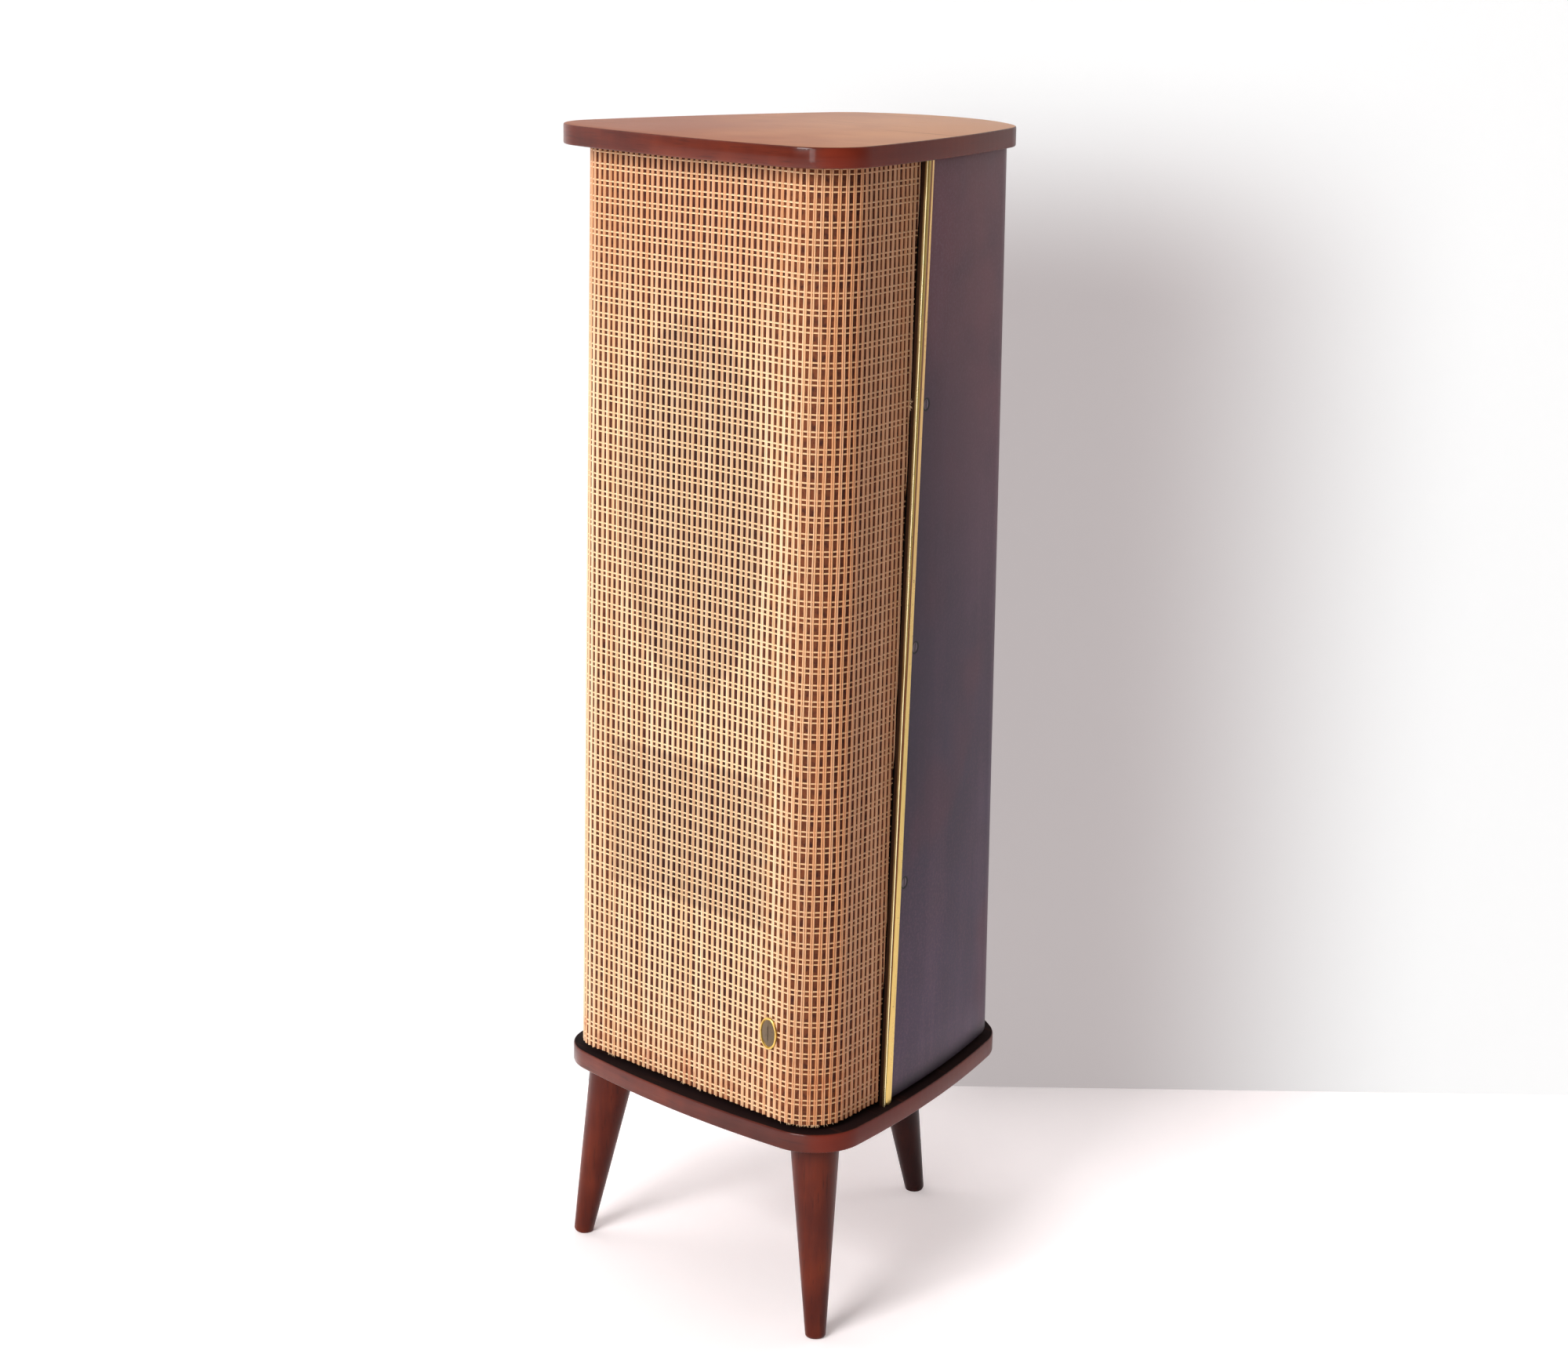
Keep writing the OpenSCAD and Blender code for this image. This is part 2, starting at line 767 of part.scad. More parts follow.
module each_leg_top() {
    for (p = leg_tops)
        translate([p[0], p[1], leg_h]) children();
}

module leg(i) {
    l = leg_length(i);
    tip = -1;
    color("#6b3a26")
        placed()
            difference() {
                intersection() {
                    on_leg(i)
                        rotate_extrude()
                            polygon(concat(
                                [[0, tip]],
                                [for (a = [-90:15:0])
                                    [leg_foot_r - foot_round + foot_round * cos(a),
                                     tip + foot_round + foot_round * sin(a)]],
                                [[leg_top_r, l], [leg_top_r, l + 2 * past], [0, l + 2 * past]]));
                    slab(0, leg_h);
                }
                translate([leg_tops[i][0], leg_tops[i][1], leg_h - bolt_grip - bore_gap])
                    cylinder(h = bolt_grip + past, r = bolt_r + bore_gap);
            }
}

module leg_front_left() {
    mirror([1, 0, 0]) leg(1);
}

module leg_front_right() {
    leg(1);
}

module leg_rear() {
    leg(2);
}

module leg_bolts() {
    color("#9a9a98")
        placed()
            each_leg_top()
                translate([0, 0, -bolt_grip])
                    cylinder(h = bolt_grip + plate_t - 2, r = bolt_r);
}

module leg_inserts() {
    color("#b8b6b0")
        placed()
            each_leg_top()
                difference() {
                    cylinder(h = plate_t, r = bolt_r + insert_wall);
                    translate([0, 0, -past]) cylinder(h = plate_t + 2 * past, r = bolt_r + bore_gap);
                }
}

module base_screws() {
    color("#8f8d88") placed() each_base_screw() wood_screw(base_screw_l);
}

module top_screws() {
    color("#8f8d88") placed() each_top_screw() wood_screw(top_screw_l);
}

// Local frame of the driver: origin on the baffle's rear face, +Z out to the front
module on_driver() {
    on_baffle(driver_up, -baffle_t) children();
}

module driver_basket() {
    color("#55585a")
        on_driver()
            difference() {
                union() {
                    translate([0, 0, basket_z])
                        linear_extrude(rim_t)
                            difference() {
                                union() {
                                    polygon(oval(oval_w, oval_h, rim_w));
                                    for (i = [0:3])
                                        translate(ear_place(i)) circle(ear_r);
                                }
                                polygon(oval(oval_w, oval_h, -1));
                            }
                    for (i = [0:3])
                        rotate(90 * i) basket_arm((i % 2 == 0 ? oval_w : oval_h) / 2);
                    translate([0, 0, washer_z])
                        cylinder(h = spider_z - washer_z, r = spider_seat_r);
                    translate([0, 0, washer_z]) cylinder(h = seat_t, r = foot_r);
                }
                translate([0, 0, washer_z - past]) cylinder(h = huge, r = gap_r + 2);
                translate([0, 0, washer_z + seat_t]) cylinder(h = huge, r = spider_seat_r - 2);
                translate([-lead_slot[0] / 2, lead_y - lead_slot[1] / 2, washer_z])
                    cube(lead_slot);
                for (i = [0:3])
                    translate(concat(ear_place(i), [basket_z - past]))
                        cylinder(h = rim_t + 2 * past, r = screw_r + bore_gap);
            }
}

// Pressed arm from the magnet's seat out to the rim, which reaches the distance r
module basket_arm(r) {
    wall = 1.8;
    skirt = 8;
    arm_w = 24;
    rotate([90, 0, 0])
        translate([0, 0, -arm_w / 2])
            linear_extrude(arm_w)
                polygon([
                    [foot_r - 3, washer_z], [foot_r - 1, washer_z],
                    [r + 1 + wall, basket_z - skirt], [r + 1 + wall, basket_z + rim_t / 2],
                    [r + 1, basket_z + rim_t / 2], [r + 1, basket_z - skirt + 1],
                    [foot_r - 3, washer_z + seat_t]
                ]);
}

module driver_gasket() {
    color("#7a6a50")
        on_driver()
            translate([0, 0, -gasket_t])
                linear_extrude(gasket_t)
                    difference() {
                        polygon(oval(oval_w, oval_h, rim_w - 1));
                        polygon(oval(oval_w, oval_h, 0.5));
                    }
}

module driver_screws() {
    // Round heads behind the rim, points in the baffle
    head_h = 0.6 * screw_head_r;
    bite = 0.8 * baffle_t;
    color("#8f8d88")
        on_driver()
            for (i = [0:3])
                translate(concat(ear_place(i), [basket_z])) {
                    translate([0, 0, -head_h]) cylinder(h = head_h, r = screw_head_r);
                    cylinder(h = bite - basket_z, r = screw_r - 2 * bore_gap);
                }
}

module driver_terminals() {
    color("#6b4a2c")
        on_driver()
            translate([0, tab_y, washer_z - tab[2]]) {
                translate([-tab[0] / 2, 0, 0]) cube(tab);
                for (side = [-1, 1])
                    translate([side * tab_lug_x - tab_lug[0] / 2, -tab_lug[1] / 2, -tab_lug[2]])
                        cube(tab_lug);
            }
}

// Two ripples of doped paper between the rim and the cone
module cone_surround() {
    ripple = 1.6;
    color("#4d463c")
        on_driver()
            skinned([
                oval_ring(-surround_in, rim_z), oval_ring(rim_w - 1.5, rim_z),
                oval_ring(rim_w - 1.5, rim_z + paper_t), oval_ring(0, rim_z + paper_t),
                oval_ring(-1.5, rim_z + paper_t + ripple), oval_ring(-3, rim_z + paper_t),
                oval_ring(-surround_in, rim_z + paper_t)
            ], closed = true);
}

// Ring part of the way from the round neck to the oval rim
function cone_ring(r, grow, z) =
    let (a = round_ring(r, z), b = oval_ring(grow, z))
    [for (i = [0:oval_steps - 1]) a[i] * (1 - cone_flare) + b[i] * cone_flare];

module cone() {
    edge_z = rim_z - glue_gap;
    color("#3a332c")
        on_driver()
            skinned([
                round_ring(cone_root_r, neck_z - 2), round_ring(cone_root_r + cone_t, neck_z - 2),
                cone_ring(cone_root_r + cone_t, -surround_in, cone_mid_z - cone_t),
                oval_ring(-surround_in, edge_z - 1.5 * cone_t),
                oval_ring(-cone_edge, edge_z - cone_t), oval_ring(-cone_edge, edge_z),
                oval_ring(-surround_in, edge_z),
                cone_ring(cone_root_r, -surround_in - cone_t, cone_mid_z)
            ], closed = true);
}

module dust_cap() {
    r = cone_root_r;
    foot_h = 3;
    crown_h = 6;
    color("#5b5044")
        on_driver()
            translate([0, 0, neck_z + 2])
                rotate_extrude()
                    polygon(concat(
                        [[r, 0], [r + cone_t, 0]],
                        [for (a = [0:15:90]) [(r + cone_t) * cos(a), foot_h + crown_h * sin(a)]],
                        [for (a = [90:-15:0]) [r * cos(a), foot_h + (crown_h - cone_t) * sin(a)]]));
}

module voice_coil() {
    color("#b0702e")
        on_driver()
            translate([0, 0, coil_low])
                difference() {
                    cylinder(h = neck_z + 3 - coil_low, r = coil_out_r);
                    translate([0, 0, -past]) cylinder(h = huge, r = coil_r);
                }
}

module spider() {
    inner = coil_out_r + bore_gap;
    ring_r = function(t) inner + (spider_seat_r - inner) * t;
    wave = 1.2;
    steps = 8;
    color("#9b7a43")
        on_driver()
            translate([0, 0, spider_z])
                rotate_extrude()
                    polygon(concat(
                        [for (i = [0:steps]) [ring_r(i / steps), (1 - cos(180 * i)) / 2 * wave]],
                        [for (i = [steps:-1:0])
                            [ring_r(i / steps), (1 - cos(180 * i)) / 2 * wave + paper_t]]));
}

// Flexible leads from the solder tab to the back of the cone
module tinsel_leads() {
    lead_r = 0.6;
    reach = 0.4;
    cone_mid_y = cone_root_r * (1 - cone_flare) + (oval_h / 2 - surround_in) * cone_flare;
    end_y = -cone_root_r - cone_t - (cone_mid_y - cone_root_r) * reach;
    end_z = neck_z - 2 + (cone_mid_z - cone_t - neck_z + 2) * reach - 2 * lead_r;
    from_z = washer_z + lead_r + glue_gap;
    color("#c07a48")
        on_driver()
            for (x = [-tab_lug_x, tab_lug_x])
                skinned(tube_rings(rounded([
                    [x, lead_y, from_z], [x, lead_y, (from_z + end_z) / 2 + 2],
                    [x, end_y, end_z]
                ], 5), lead_r));
}

module pole_washer() {
    color("#8d9092")
        on_driver()
            translate([0, 0, magnet_z])
                difference() {
                    cylinder(h = washer_t, r = washer_r);
                    translate([0, 0, -past]) cylinder(h = huge, r = gap_r);
                }
}

module magnet() {
    color("#3c3c3e")
        on_driver()
            translate([0, 0, yoke_z])
                difference() {
                    cylinder(h = magnet_t, r = magnet_r);
                    translate([0, 0, -past]) cylinder(h = huge, r = gap_r + 5);
                }
}

module yoke() {
    color("#8d9092")
        on_driver() {
            translate([0, 0, yoke_z - yoke_t]) cylinder(h = yoke_t, r = washer_r);
            translate([0, 0, yoke_z - 1]) cylinder(h = washer_z - yoke_z + 1, r = pole_r);
        }
}

// Wooden block that carries the socket plate on the shell's curved back
module socket_block() {
    color("#b8935f")
        placed()
            difference() {
                intersection() {
                    leaning_prism(shell_inset + shell_t + glue_gap,
                        socket_z - block_h / 2, socket_z + block_h / 2);
                    translate([-block_w / 2, block_y, socket_z - huge / 2])
                        cube([block_w, huge, huge]);
                }
                socket_window(block_y - past, block_t + 2 * past);
                each_socket_screw() cylinder(h = 9, r = screw_r - bore_gap);
            }
}

module each_socket_screw() {
    for (s = [-1, 1])
        translate([s * (block_w - socket_margin) / 2, block_y, socket_z])
            rotate([-90, 0, 0])
                children();
}

module each_socket() {
    for (s = [-1, 1])
        translate([s * socket_pitch / 2, block_y, socket_z])
            rotate([-90, 0, 0])
                children();
}

module socket_plate() {
    color("#1d1a18")
        placed()
            difference() {
                translate([-block_w / 2, block_y - socket_plate_t, socket_z - block_h / 2])
                    cube([block_w, socket_plate_t, block_h]);
                each_socket()
                    translate([0, 0, -socket_plate_t - past])
                        cylinder(h = huge, r = socket_r + socket_sleeve + bore_gap);
                each_socket_screw()
                    translate([0, 0, -socket_plate_t - past])
                        cylinder(h = huge, r = screw_r + bore_gap);
            }
}

module plug_sockets() {
    sleeve_r = socket_r + socket_sleeve;
    flange_r = sleeve_r + 2;
    wall = 2;
    color("#c8c4b4")
        placed()
            each_socket() {
                difference() {
                    translate([0, 0, socket_flange_t - socket_bore - wall])
                        cylinder(h = socket_bore + wall, r = sleeve_r);
                    translate([0, 0, socket_flange_t - socket_bore])
                        cylinder(h = socket_bore + past, r = socket_r);
                }
                difference() {
                    cylinder(h = socket_flange_t, r = flange_r);
                    translate([0, 0, -past]) cylinder(h = huge, r = sleeve_r - 0.5);
                }
                translate([-2, -lug_t / 2, socket_flange_t - socket_bore - wall - lug_l])
                    cube([4, lug_t, lug_l + 0.5]);
            }
}

module socket_screws() {
    color("#8f8d88")
        placed()
            each_socket_screw()
                translate([0, 0, -socket_plate_t]) {
                    translate([0, 0, -2]) cylinder(h = 2, r = screw_head_r);
                    cylinder(h = 8 + socket_plate_t, r = screw_r - 2 * bore_gap);
                }
}

module speaker_lead() {
    color("#5a2f22")
        placed()
            for (side = [-1, 1])
                skinned(tube_rings(rounded(wire_route(side), wire_bend), wire_r));
}

// Saddle clips that hold both wires against the baffle's rear face
module lead_clips() {
    wall = 2;
    long = 6;
    room = [2 * (wire_apart + wire_r) + 0.6, long + 2 * past, 2 * wire_r + 0.5];
    color("#2f2b28")
        for (up = clip_ups)
            on_baffle(up, -baffle_t)
                translate([wire_x, 0, 0])
                    difference() {
                        translate([-room[0] / 2 - wall, -long / 2, -room[2] - wall / 2])
                            cube([room[0] + 2 * wall, long, room[2] + wall / 2]);
                        translate([-room[0] / 2, -room[1] / 2, -room[2]])
                            cube([room[0], room[1], room[2] + past]);
                    }
}

top_plate();
base_plate();
shadow_spacer();
bottom_board();
top_board();
baffle_board();
corner_post_left();
corner_post_right();
grille_cloth();
badge();
rear_shell();
edge_trim_left();
edge_trim_right();
side_cleat_left();
side_cleat_right();
shell_screws();
leg_front_left();
leg_front_right();
leg_rear();
leg_bolts();
leg_inserts();
base_screws();
top_screws();
driver_basket();
driver_gasket();
driver_screws();
driver_terminals();
cone_surround();
cone();
dust_cap();
voice_coil();
spider();
tinsel_leads();
pole_washer();
magnet();
yoke();
socket_block();
socket_plate();
plug_sockets();
socket_screws();
speaker_lead();
lead_clips();
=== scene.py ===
import cmath
import math
import random

import bpy
from mathutils import Matrix, Vector


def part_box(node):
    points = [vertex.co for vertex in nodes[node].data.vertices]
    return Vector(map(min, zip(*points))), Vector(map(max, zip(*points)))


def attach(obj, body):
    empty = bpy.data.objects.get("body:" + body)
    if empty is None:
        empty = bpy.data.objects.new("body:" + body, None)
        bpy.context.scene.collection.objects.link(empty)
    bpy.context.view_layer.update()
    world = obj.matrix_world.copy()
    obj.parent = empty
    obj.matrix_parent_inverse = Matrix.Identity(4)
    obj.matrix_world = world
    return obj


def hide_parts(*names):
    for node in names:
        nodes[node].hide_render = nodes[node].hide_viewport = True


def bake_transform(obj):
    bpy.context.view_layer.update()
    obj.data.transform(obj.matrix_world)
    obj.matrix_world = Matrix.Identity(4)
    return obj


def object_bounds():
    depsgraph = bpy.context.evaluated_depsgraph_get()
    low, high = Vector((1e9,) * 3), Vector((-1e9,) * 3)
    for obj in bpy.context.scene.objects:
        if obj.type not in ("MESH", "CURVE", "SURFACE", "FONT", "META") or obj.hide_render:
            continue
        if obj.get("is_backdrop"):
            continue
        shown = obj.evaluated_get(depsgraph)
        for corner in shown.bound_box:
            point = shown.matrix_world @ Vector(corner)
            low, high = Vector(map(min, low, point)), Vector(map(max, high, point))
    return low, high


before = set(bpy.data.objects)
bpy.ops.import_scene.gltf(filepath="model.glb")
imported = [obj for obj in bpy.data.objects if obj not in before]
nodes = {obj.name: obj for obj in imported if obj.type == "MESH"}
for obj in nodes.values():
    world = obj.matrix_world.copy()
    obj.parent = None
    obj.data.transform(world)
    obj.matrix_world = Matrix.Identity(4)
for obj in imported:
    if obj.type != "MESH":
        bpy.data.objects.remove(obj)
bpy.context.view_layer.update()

mm = 0.001

# The studio is a white floor with a pale wall close behind, lit by one large soft lamp in front
# and by the pale room. The camera stands where the photograph was taken from.


class Wire:
    """An output of a node. Python's operators on it add Math nodes."""

    def __init__(self, finish, node, socket=0):
        self.finish = finish
        self.node = node
        self.socket = node.outputs[socket] if node.outputs else None

    def __getitem__(self, name):
        return Wire(self.finish, self.node, name)

    def maths(self, operation, *values):
        return self.finish.add("ShaderNodeMath", {"operation": operation}, dict(enumerate(values)))

    def __add__(self, other):
        return self.maths("ADD", self, other)

    def __radd__(self, other):
        return self.maths("ADD", other, self)

    def __sub__(self, other):
        return self.maths("SUBTRACT", self, other)

    def __rsub__(self, other):
        return self.maths("SUBTRACT", other, self)

    def __mul__(self, other):
        return self.maths("MULTIPLY", self, other)

    def __rmul__(self, other):
        return self.maths("MULTIPLY", other, self)

    def __truediv__(self, other):
        return self.maths("DIVIDE", self, other)

    def __pow__(self, other):
        return self.maths("POWER", self, other)

    def __abs__(self):
        return self.maths("ABSOLUTE", self)

    def most(self, other):
        return self.maths("MAXIMUM", self, other)

    def least(self, other):
        return self.maths("MINIMUM", self, other)

    def waves(self, period):
        """A sine along this value, with this period."""
        return self.maths("SINE", self * (6.283 / period))

    def part(self):
        """What is left over whole numbers."""
        return self.maths("FRACT", self)

    def between(self, low, high):
        """0 below low and 1 above high, or the other way round, with a soft step between."""
        return self.finish.add(
            "ShaderNodeMapRange",
            {"interpolation_type": "SMOOTHSTEP"},
            {"Value": self, "From Min": low, "From Max": high},
        )


class Finish:
    """One material, and the one method that adds a node to it."""

    def __init__(self, name, tree=None):
        if tree is None:
            self.material = bpy.data.materials.new(name)
            self.material.use_nodes = True
            tree = self.material.node_tree
        self.tree = tree
        self.tree.nodes.clear()
        self.here = self.add("ShaderNodeTexCoord")["Object"]

    def add(self, kind, settings={}, inputs={}):
        node = self.tree.nodes.new(kind)
        for name, value in settings.items():
            if name == "stops":
                band = node.color_ramp.elements
                while len(band) < len(value):
                    band.new(0.5)
                for element, (place, colour) in zip(band, value):
                    element.position = place
                    element.color = tone(colour)
            else:
                setattr(node, name, value)
        for name, value in inputs.items():
            if isinstance(value, Wire):
                self.tree.links.new(value.socket, node.inputs[name])
            else:
                node.inputs[name].default_value = tone(value) if isinstance(value, str) else value
        return Wire(self, node)

    def axes(self, of=None):
        apart = self.add("ShaderNodeSeparateXYZ", {}, {0: of or self.here})
        return apart["X"], apart["Y"], apart["Z"]

    def facing(self):
        """Which way the surface looks, along X, Y and Z."""
        return self.axes(self.add("ShaderNodeNewGeometry")["Normal"])

    def carried(self, name):
        """A number that the mesh carries at its points."""
        return self.add("ShaderNodeAttribute", {"attribute_name": name})["Fac"]

    def vector(self, operation, a, b):
        return self.add("ShaderNodeVectorMath", {"operation": operation}, {0: a, 1: b})

    def stretched(self, scale, start=None):
        """Coordinates scaled apart, so that a noise on them runs in streaks."""
        return self.vector("MULTIPLY", start or self.here, scale)

    def noise(self, scale, detail=3.0, rough=0.6, stretch=None, at=None):
        at = self.stretched(stretch) if stretch else at or self.here
        return self.add("ShaderNodeTexNoise", {}, {
            "Vector": at, "Scale": scale, "Detail": detail, "Roughness": rough})

    def mix(self, amount, a, b):
        mixed = self.add("ShaderNodeMix", {"data_type": "RGBA"}, {0: amount, 6: a, 7: b})
        return Wire(self, mixed.node, 2)

    def coated(self, colour, *coats):
        """The colour under coats of (how much, colour), laid on one after the other."""
        for amount, over in coats:
            colour = self.mix(amount, colour, over)
        return colour

    def either(self, amount, one, other):
        """One shader or the other, by the amount."""
        return self.add("ShaderNodeMixShader", {}, {0: amount, 1: one, 2: other})

    def ramp(self, amount, *stops):
        return self.add("ShaderNodeValToRGB", {"stops": stops}, {0: amount})

    def surface(self, colour, rough, bump, metallic=0.0, others={}):
        """The finished material. bump is its height, its depth in metres and its strength."""
        normal = self.add("ShaderNodeBump", {}, dict(zip(("Height", "Distance", "Strength"), bump)))
        shader = self.add("ShaderNodeBsdfPrincipled", {}, {
            "Base Color": colour, "Roughness": rough, "Metallic": metallic, "Normal": normal,
            **others})
        self.add("ShaderNodeOutputMaterial", {}, {"Surface": shader})
        return self.material


def tone(code):
    """A colour given as it looks, in the renderer's own numbers."""
    parts = [int(code[i:i + 2], 16) / 255 for i in (1, 3, 5)]
    return (*(p / 12.92 if p < 0.04045 else ((p + 0.055) / 1.055) ** 2.4 for p in parts), 1.0)


def seen(finish):
    """1 where the camera, a gloss or a glass sees the surface itself."""
    path = finish.add("ShaderNodeLightPath")
    return path["Is Camera Ray"].most(path["Is Glossy Ray"]).most(path["Is Transmission Ray"])


yaw, pitch, roll = 0.7730, 0.2538, 0.0150
eye = Vector((1.6088, -1.6840, 1.0759))
lens = 70.47
heading = Vector((-math.sin(yaw), math.cos(yaw), 0))
ahead = Vector((heading.x * math.cos(pitch), heading.y * math.cos(pitch), -math.sin(pitch)))
level = Vector((math.cos(yaw), math.sin(yaw), 0))
over = level.cross(ahead)
right = math.cos(roll) * level + math.sin(roll) * over
upward = math.cos(roll) * over - math.sin(roll) * level


def linked(name, data):
    """A new object in the scene that holds this camera or lamp."""
    piece = bpy.data.objects.new(name, data)
    bpy.context.scene.collection.objects.link(piece)
    return piece


def fresh(add, name, **settings):
    """A new piece from one of the mesh primitives, with nothing else selected."""
    bpy.ops.object.select_all(action="DESELECT")
    add(**settings)
    bpy.context.object.name = name
    return bpy.context.object


camera = linked("camera", bpy.data.cameras.new("camera"))
camera.data.lens = lens
camera.data.sensor_width = 36.0
camera.data.clip_start = 0.05
camera.matrix_world = Matrix(
    [(right[i], upward[i], -ahead[i], eye[i]) for i in range(3)] + [(0, 0, 0, 1)]
)
bpy.context.scene.camera = camera

wall_away = 2.655
floor_size = 16.0
for finish_name in ("floor", "wall"):
    stage = fresh(bpy.ops.mesh.primitive_plane_add, finish_name, size=floor_size)
    finish = Finish(finish_name)
    x, y = finish.axes()[:2]
    if finish_name == "wall":
        foot = Vector((eye.x, eye.y, 0)) + heading * wall_away
        stage.matrix_world = (
            Matrix.Translation(foot)
            @ Matrix.Rotation(yaw, 4, "Z")
            @ Matrix.Rotation(math.pi / 2, 4, "X")
        )
        # The grey patch to the right of the part is a painted shadow of the part on the wall.
        painted_wall_shadow = x.between(-0.05, 0.18) * x.between(0.62, 0.28) * y.between(0.95, 0.72)
        colour = finish.mix(painted_wall_shadow, "#ffffff", "#c9c1c1")
        lit = finish.add("ShaderNodeBsdfDiffuse", {}, {"Color": colour})
        glow = finish.add("ShaderNodeEmission", {}, {"Color": colour, "Strength": 1.0})
        pale = finish.either(seen(finish) * 0.8, lit, glow)
    else:
        warm = "#fff8f8"
        # under turns the floor's glow down beneath the part, as a painted shadow.
        under = (((x + 0.08) ** 2 + (y + 0.14) ** 2) ** 0.5).between(0.44, 0.14)
        lit = finish.add("ShaderNodeBsdfDiffuse", {}, {"Color": warm})
        far = ((x ** 2 + y ** 2) ** 0.5).between(1.2, 4.0)
        brightness = seen(finish) * (0.46 - under * 0.36 + far * 0.45)
        glow = finish.add("ShaderNodeEmission", {}, {"Color": warm, "Strength": brightness})
        pale = finish.add("ShaderNodeAddShader", {}, {0: lit, 1: glow})
    clear = finish.add("ShaderNodeBsdfTransparent")
    behind = finish.add("ShaderNodeNewGeometry")["Backfacing"]
    finish.add("ShaderNodeOutputMaterial", {}, {"Surface": finish.either(behind, pale, clear)})
    stage.data.materials.append(finish.material)
    stage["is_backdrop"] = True

world = bpy.data.worlds.new("room")
world.use_nodes = True
bpy.context.scene.world = world
finish = Finish("room", world.node_tree)
direction = finish.add("ShaderNodeTexCoord")["Generated"]


def towards(way, low, high):
    """0 to 1 as the direction turns towards a way."""
    return finish.vector("DOT_PRODUCT", direction, way)["Value"].between(low, high)


dim = finish.mix(towards((-0.62, 0.62, 0.48), -0.35, 0.55), "#6a6462", "#ffffff")
share_lit = towards((0, 0, 1), -0.1, 1.0) * 0.62 + towards((-0.80, -0.60, 0), -0.4, 0.9) * 0.38
ambient = finish.mix(share_lit, "#5c5658", "#fffdfa")
room, gloss, white = (
    finish.add("ShaderNodeBackground", {}, {"Color": colour, "Strength": strength})
    for colour, strength in ((ambient, 0.46), (dim, 1.0), ((1, 1, 1, 1), 1.0)))
straight = finish.add("ShaderNodeLightPath")["Is Camera Ray"]
mixed = finish.either(straight, finish.either(seen(finish), room, gloss), white)
finish.add("ShaderNodeOutputWorld", {}, {"Surface": mixed})


def lamp(name, degrees, away, height, width, tall, power):
    """A soft lamp that looks at the middle of the part, from this side of it."""
    light = bpy.data.lights.new(name, "AREA")
    light.shape = "RECTANGLE"
    light.size = width
    light.size_y = tall
    light.energy = power
    side = math.radians(degrees)
    at = Vector((away * math.cos(side), away * math.sin(side), height))
    turned = (Vector((0, 0, 0.5)) - at).to_track_quat("-Z", "Y")
    linked(name, light).matrix_world = Matrix.Translation(at) @ turned.to_matrix().to_4x4()


lamp("key", -84, 2.6, 1.9, 1.2, 1.2, 84)
lamp("front", -66, 3.0, 0.9, 0.5, 1.2, 10)
bpy.context.scene.view_settings.view_transform = "Standard"

# The top and the base plate are boards cut to one outline, with bowed edges and round corners.
# Their rims are softened, and they are finished in a reddish satin lacquer.
plate_front_w, plate_rear_w, plate_depth, plate_t = 303 * mm, 182 * mm, 264 * mm, 15 * mm
front_bow, side_bow, rear_bow = 13 * mm, 9.5 * mm, 35 * mm
front_corner_r, rear_corner_r = 42 * mm, 54 * mm
rake = 8 * mm
leg_h, body_h = 153 * mm, 713 * mm
base_top = leg_h + plate_t
body_bottom = base_top + 4 * mm
body_top = body_bottom + body_h
rim_round = 1.3 * mm


def bow_radius(chord, rise):
    return (chord ** 2 / 4 + rise ** 2) / (2 * rise)


def meet(c1, r1, c2, r2):
    """Where two circles cross. A place in plan is one complex number."""
    apart = abs(c2 - c1)
    u = (c2 - c1) / apart
    a = (r1 ** 2 - r2 ** 2 + apart ** 2) / (2 * apart)
    return c1 + u * a + u * 1j * math.sqrt(r1 ** 2 - a ** 2)


def arc(centre, r, start, stop, steps):
    return [centre + cmath.rect(r, start + (stop - start) * i / steps) for i in range(1, steps + 1)]


front_r = bow_radius(plate_front_w, front_bow)
front_c = 1j * (front_r - front_bow)
side_from = plate_front_w / 2 + 0j
side_to = plate_rear_w / 2 + 1j * plate_depth
side_r = bow_radius(abs(side_to - side_from), side_bow)
side_c = (side_from + side_to) / 2
side_c += 1j * (side_to - side_from) / abs(side_to - side_from) * (side_r - side_bow)
rear_r = bow_radius(plate_rear_w, rear_bow)
rear_c = 1j * (plate_depth + rear_bow - rear_r)
front_corner_c = meet(front_c, front_r - front_corner_r, side_c, side_r - front_corner_r)
rear_corner_c = meet(side_c, side_r - rear_corner_r, rear_c, rear_r - rear_corner_r)
front_turn = cmath.phase(front_corner_c - front_c)
side_start = cmath.phase(front_corner_c - side_c)
side_end = cmath.phase(rear_corner_c - side_c)
rear_turn = cmath.phase(rear_corner_c - rear_c)
plan_mid_y = (plate_depth + rear_bow + rake - front_bow) / 2


def plate_outline():
    half = [front_c - 1j * front_r]
    half += arc(front_c, front_r, -math.pi / 2, front_turn, 16)
    half += arc(front_corner_c, front_corner_r, front_turn, side_start, 24)
    half += arc(side_c, side_r, side_start, side_end, 24)
    half += arc(rear_corner_c, rear_corner_r, side_end, rear_turn, 20)
    half += arc(rear_c, rear_r, rear_turn, math.pi / 2, 14)
    return half + [-p.conjugate() for p in reversed(half[1:-1])]


def pick(piece):
    """Leaves only this piece selected."""
    bpy.ops.object.select_all(action="DESELECT")
    piece.select_set(True)
    bpy.context.view_layer.objects.active = piece


def opened(piece, kind="VERT"):
    """Edit mode, with the whole piece selected."""
    pick(piece)
    bpy.ops.object.mode_set(mode="EDIT")
    bpy.ops.mesh.select_mode(type=kind)
    bpy.ops.mesh.select_all(action="SELECT")


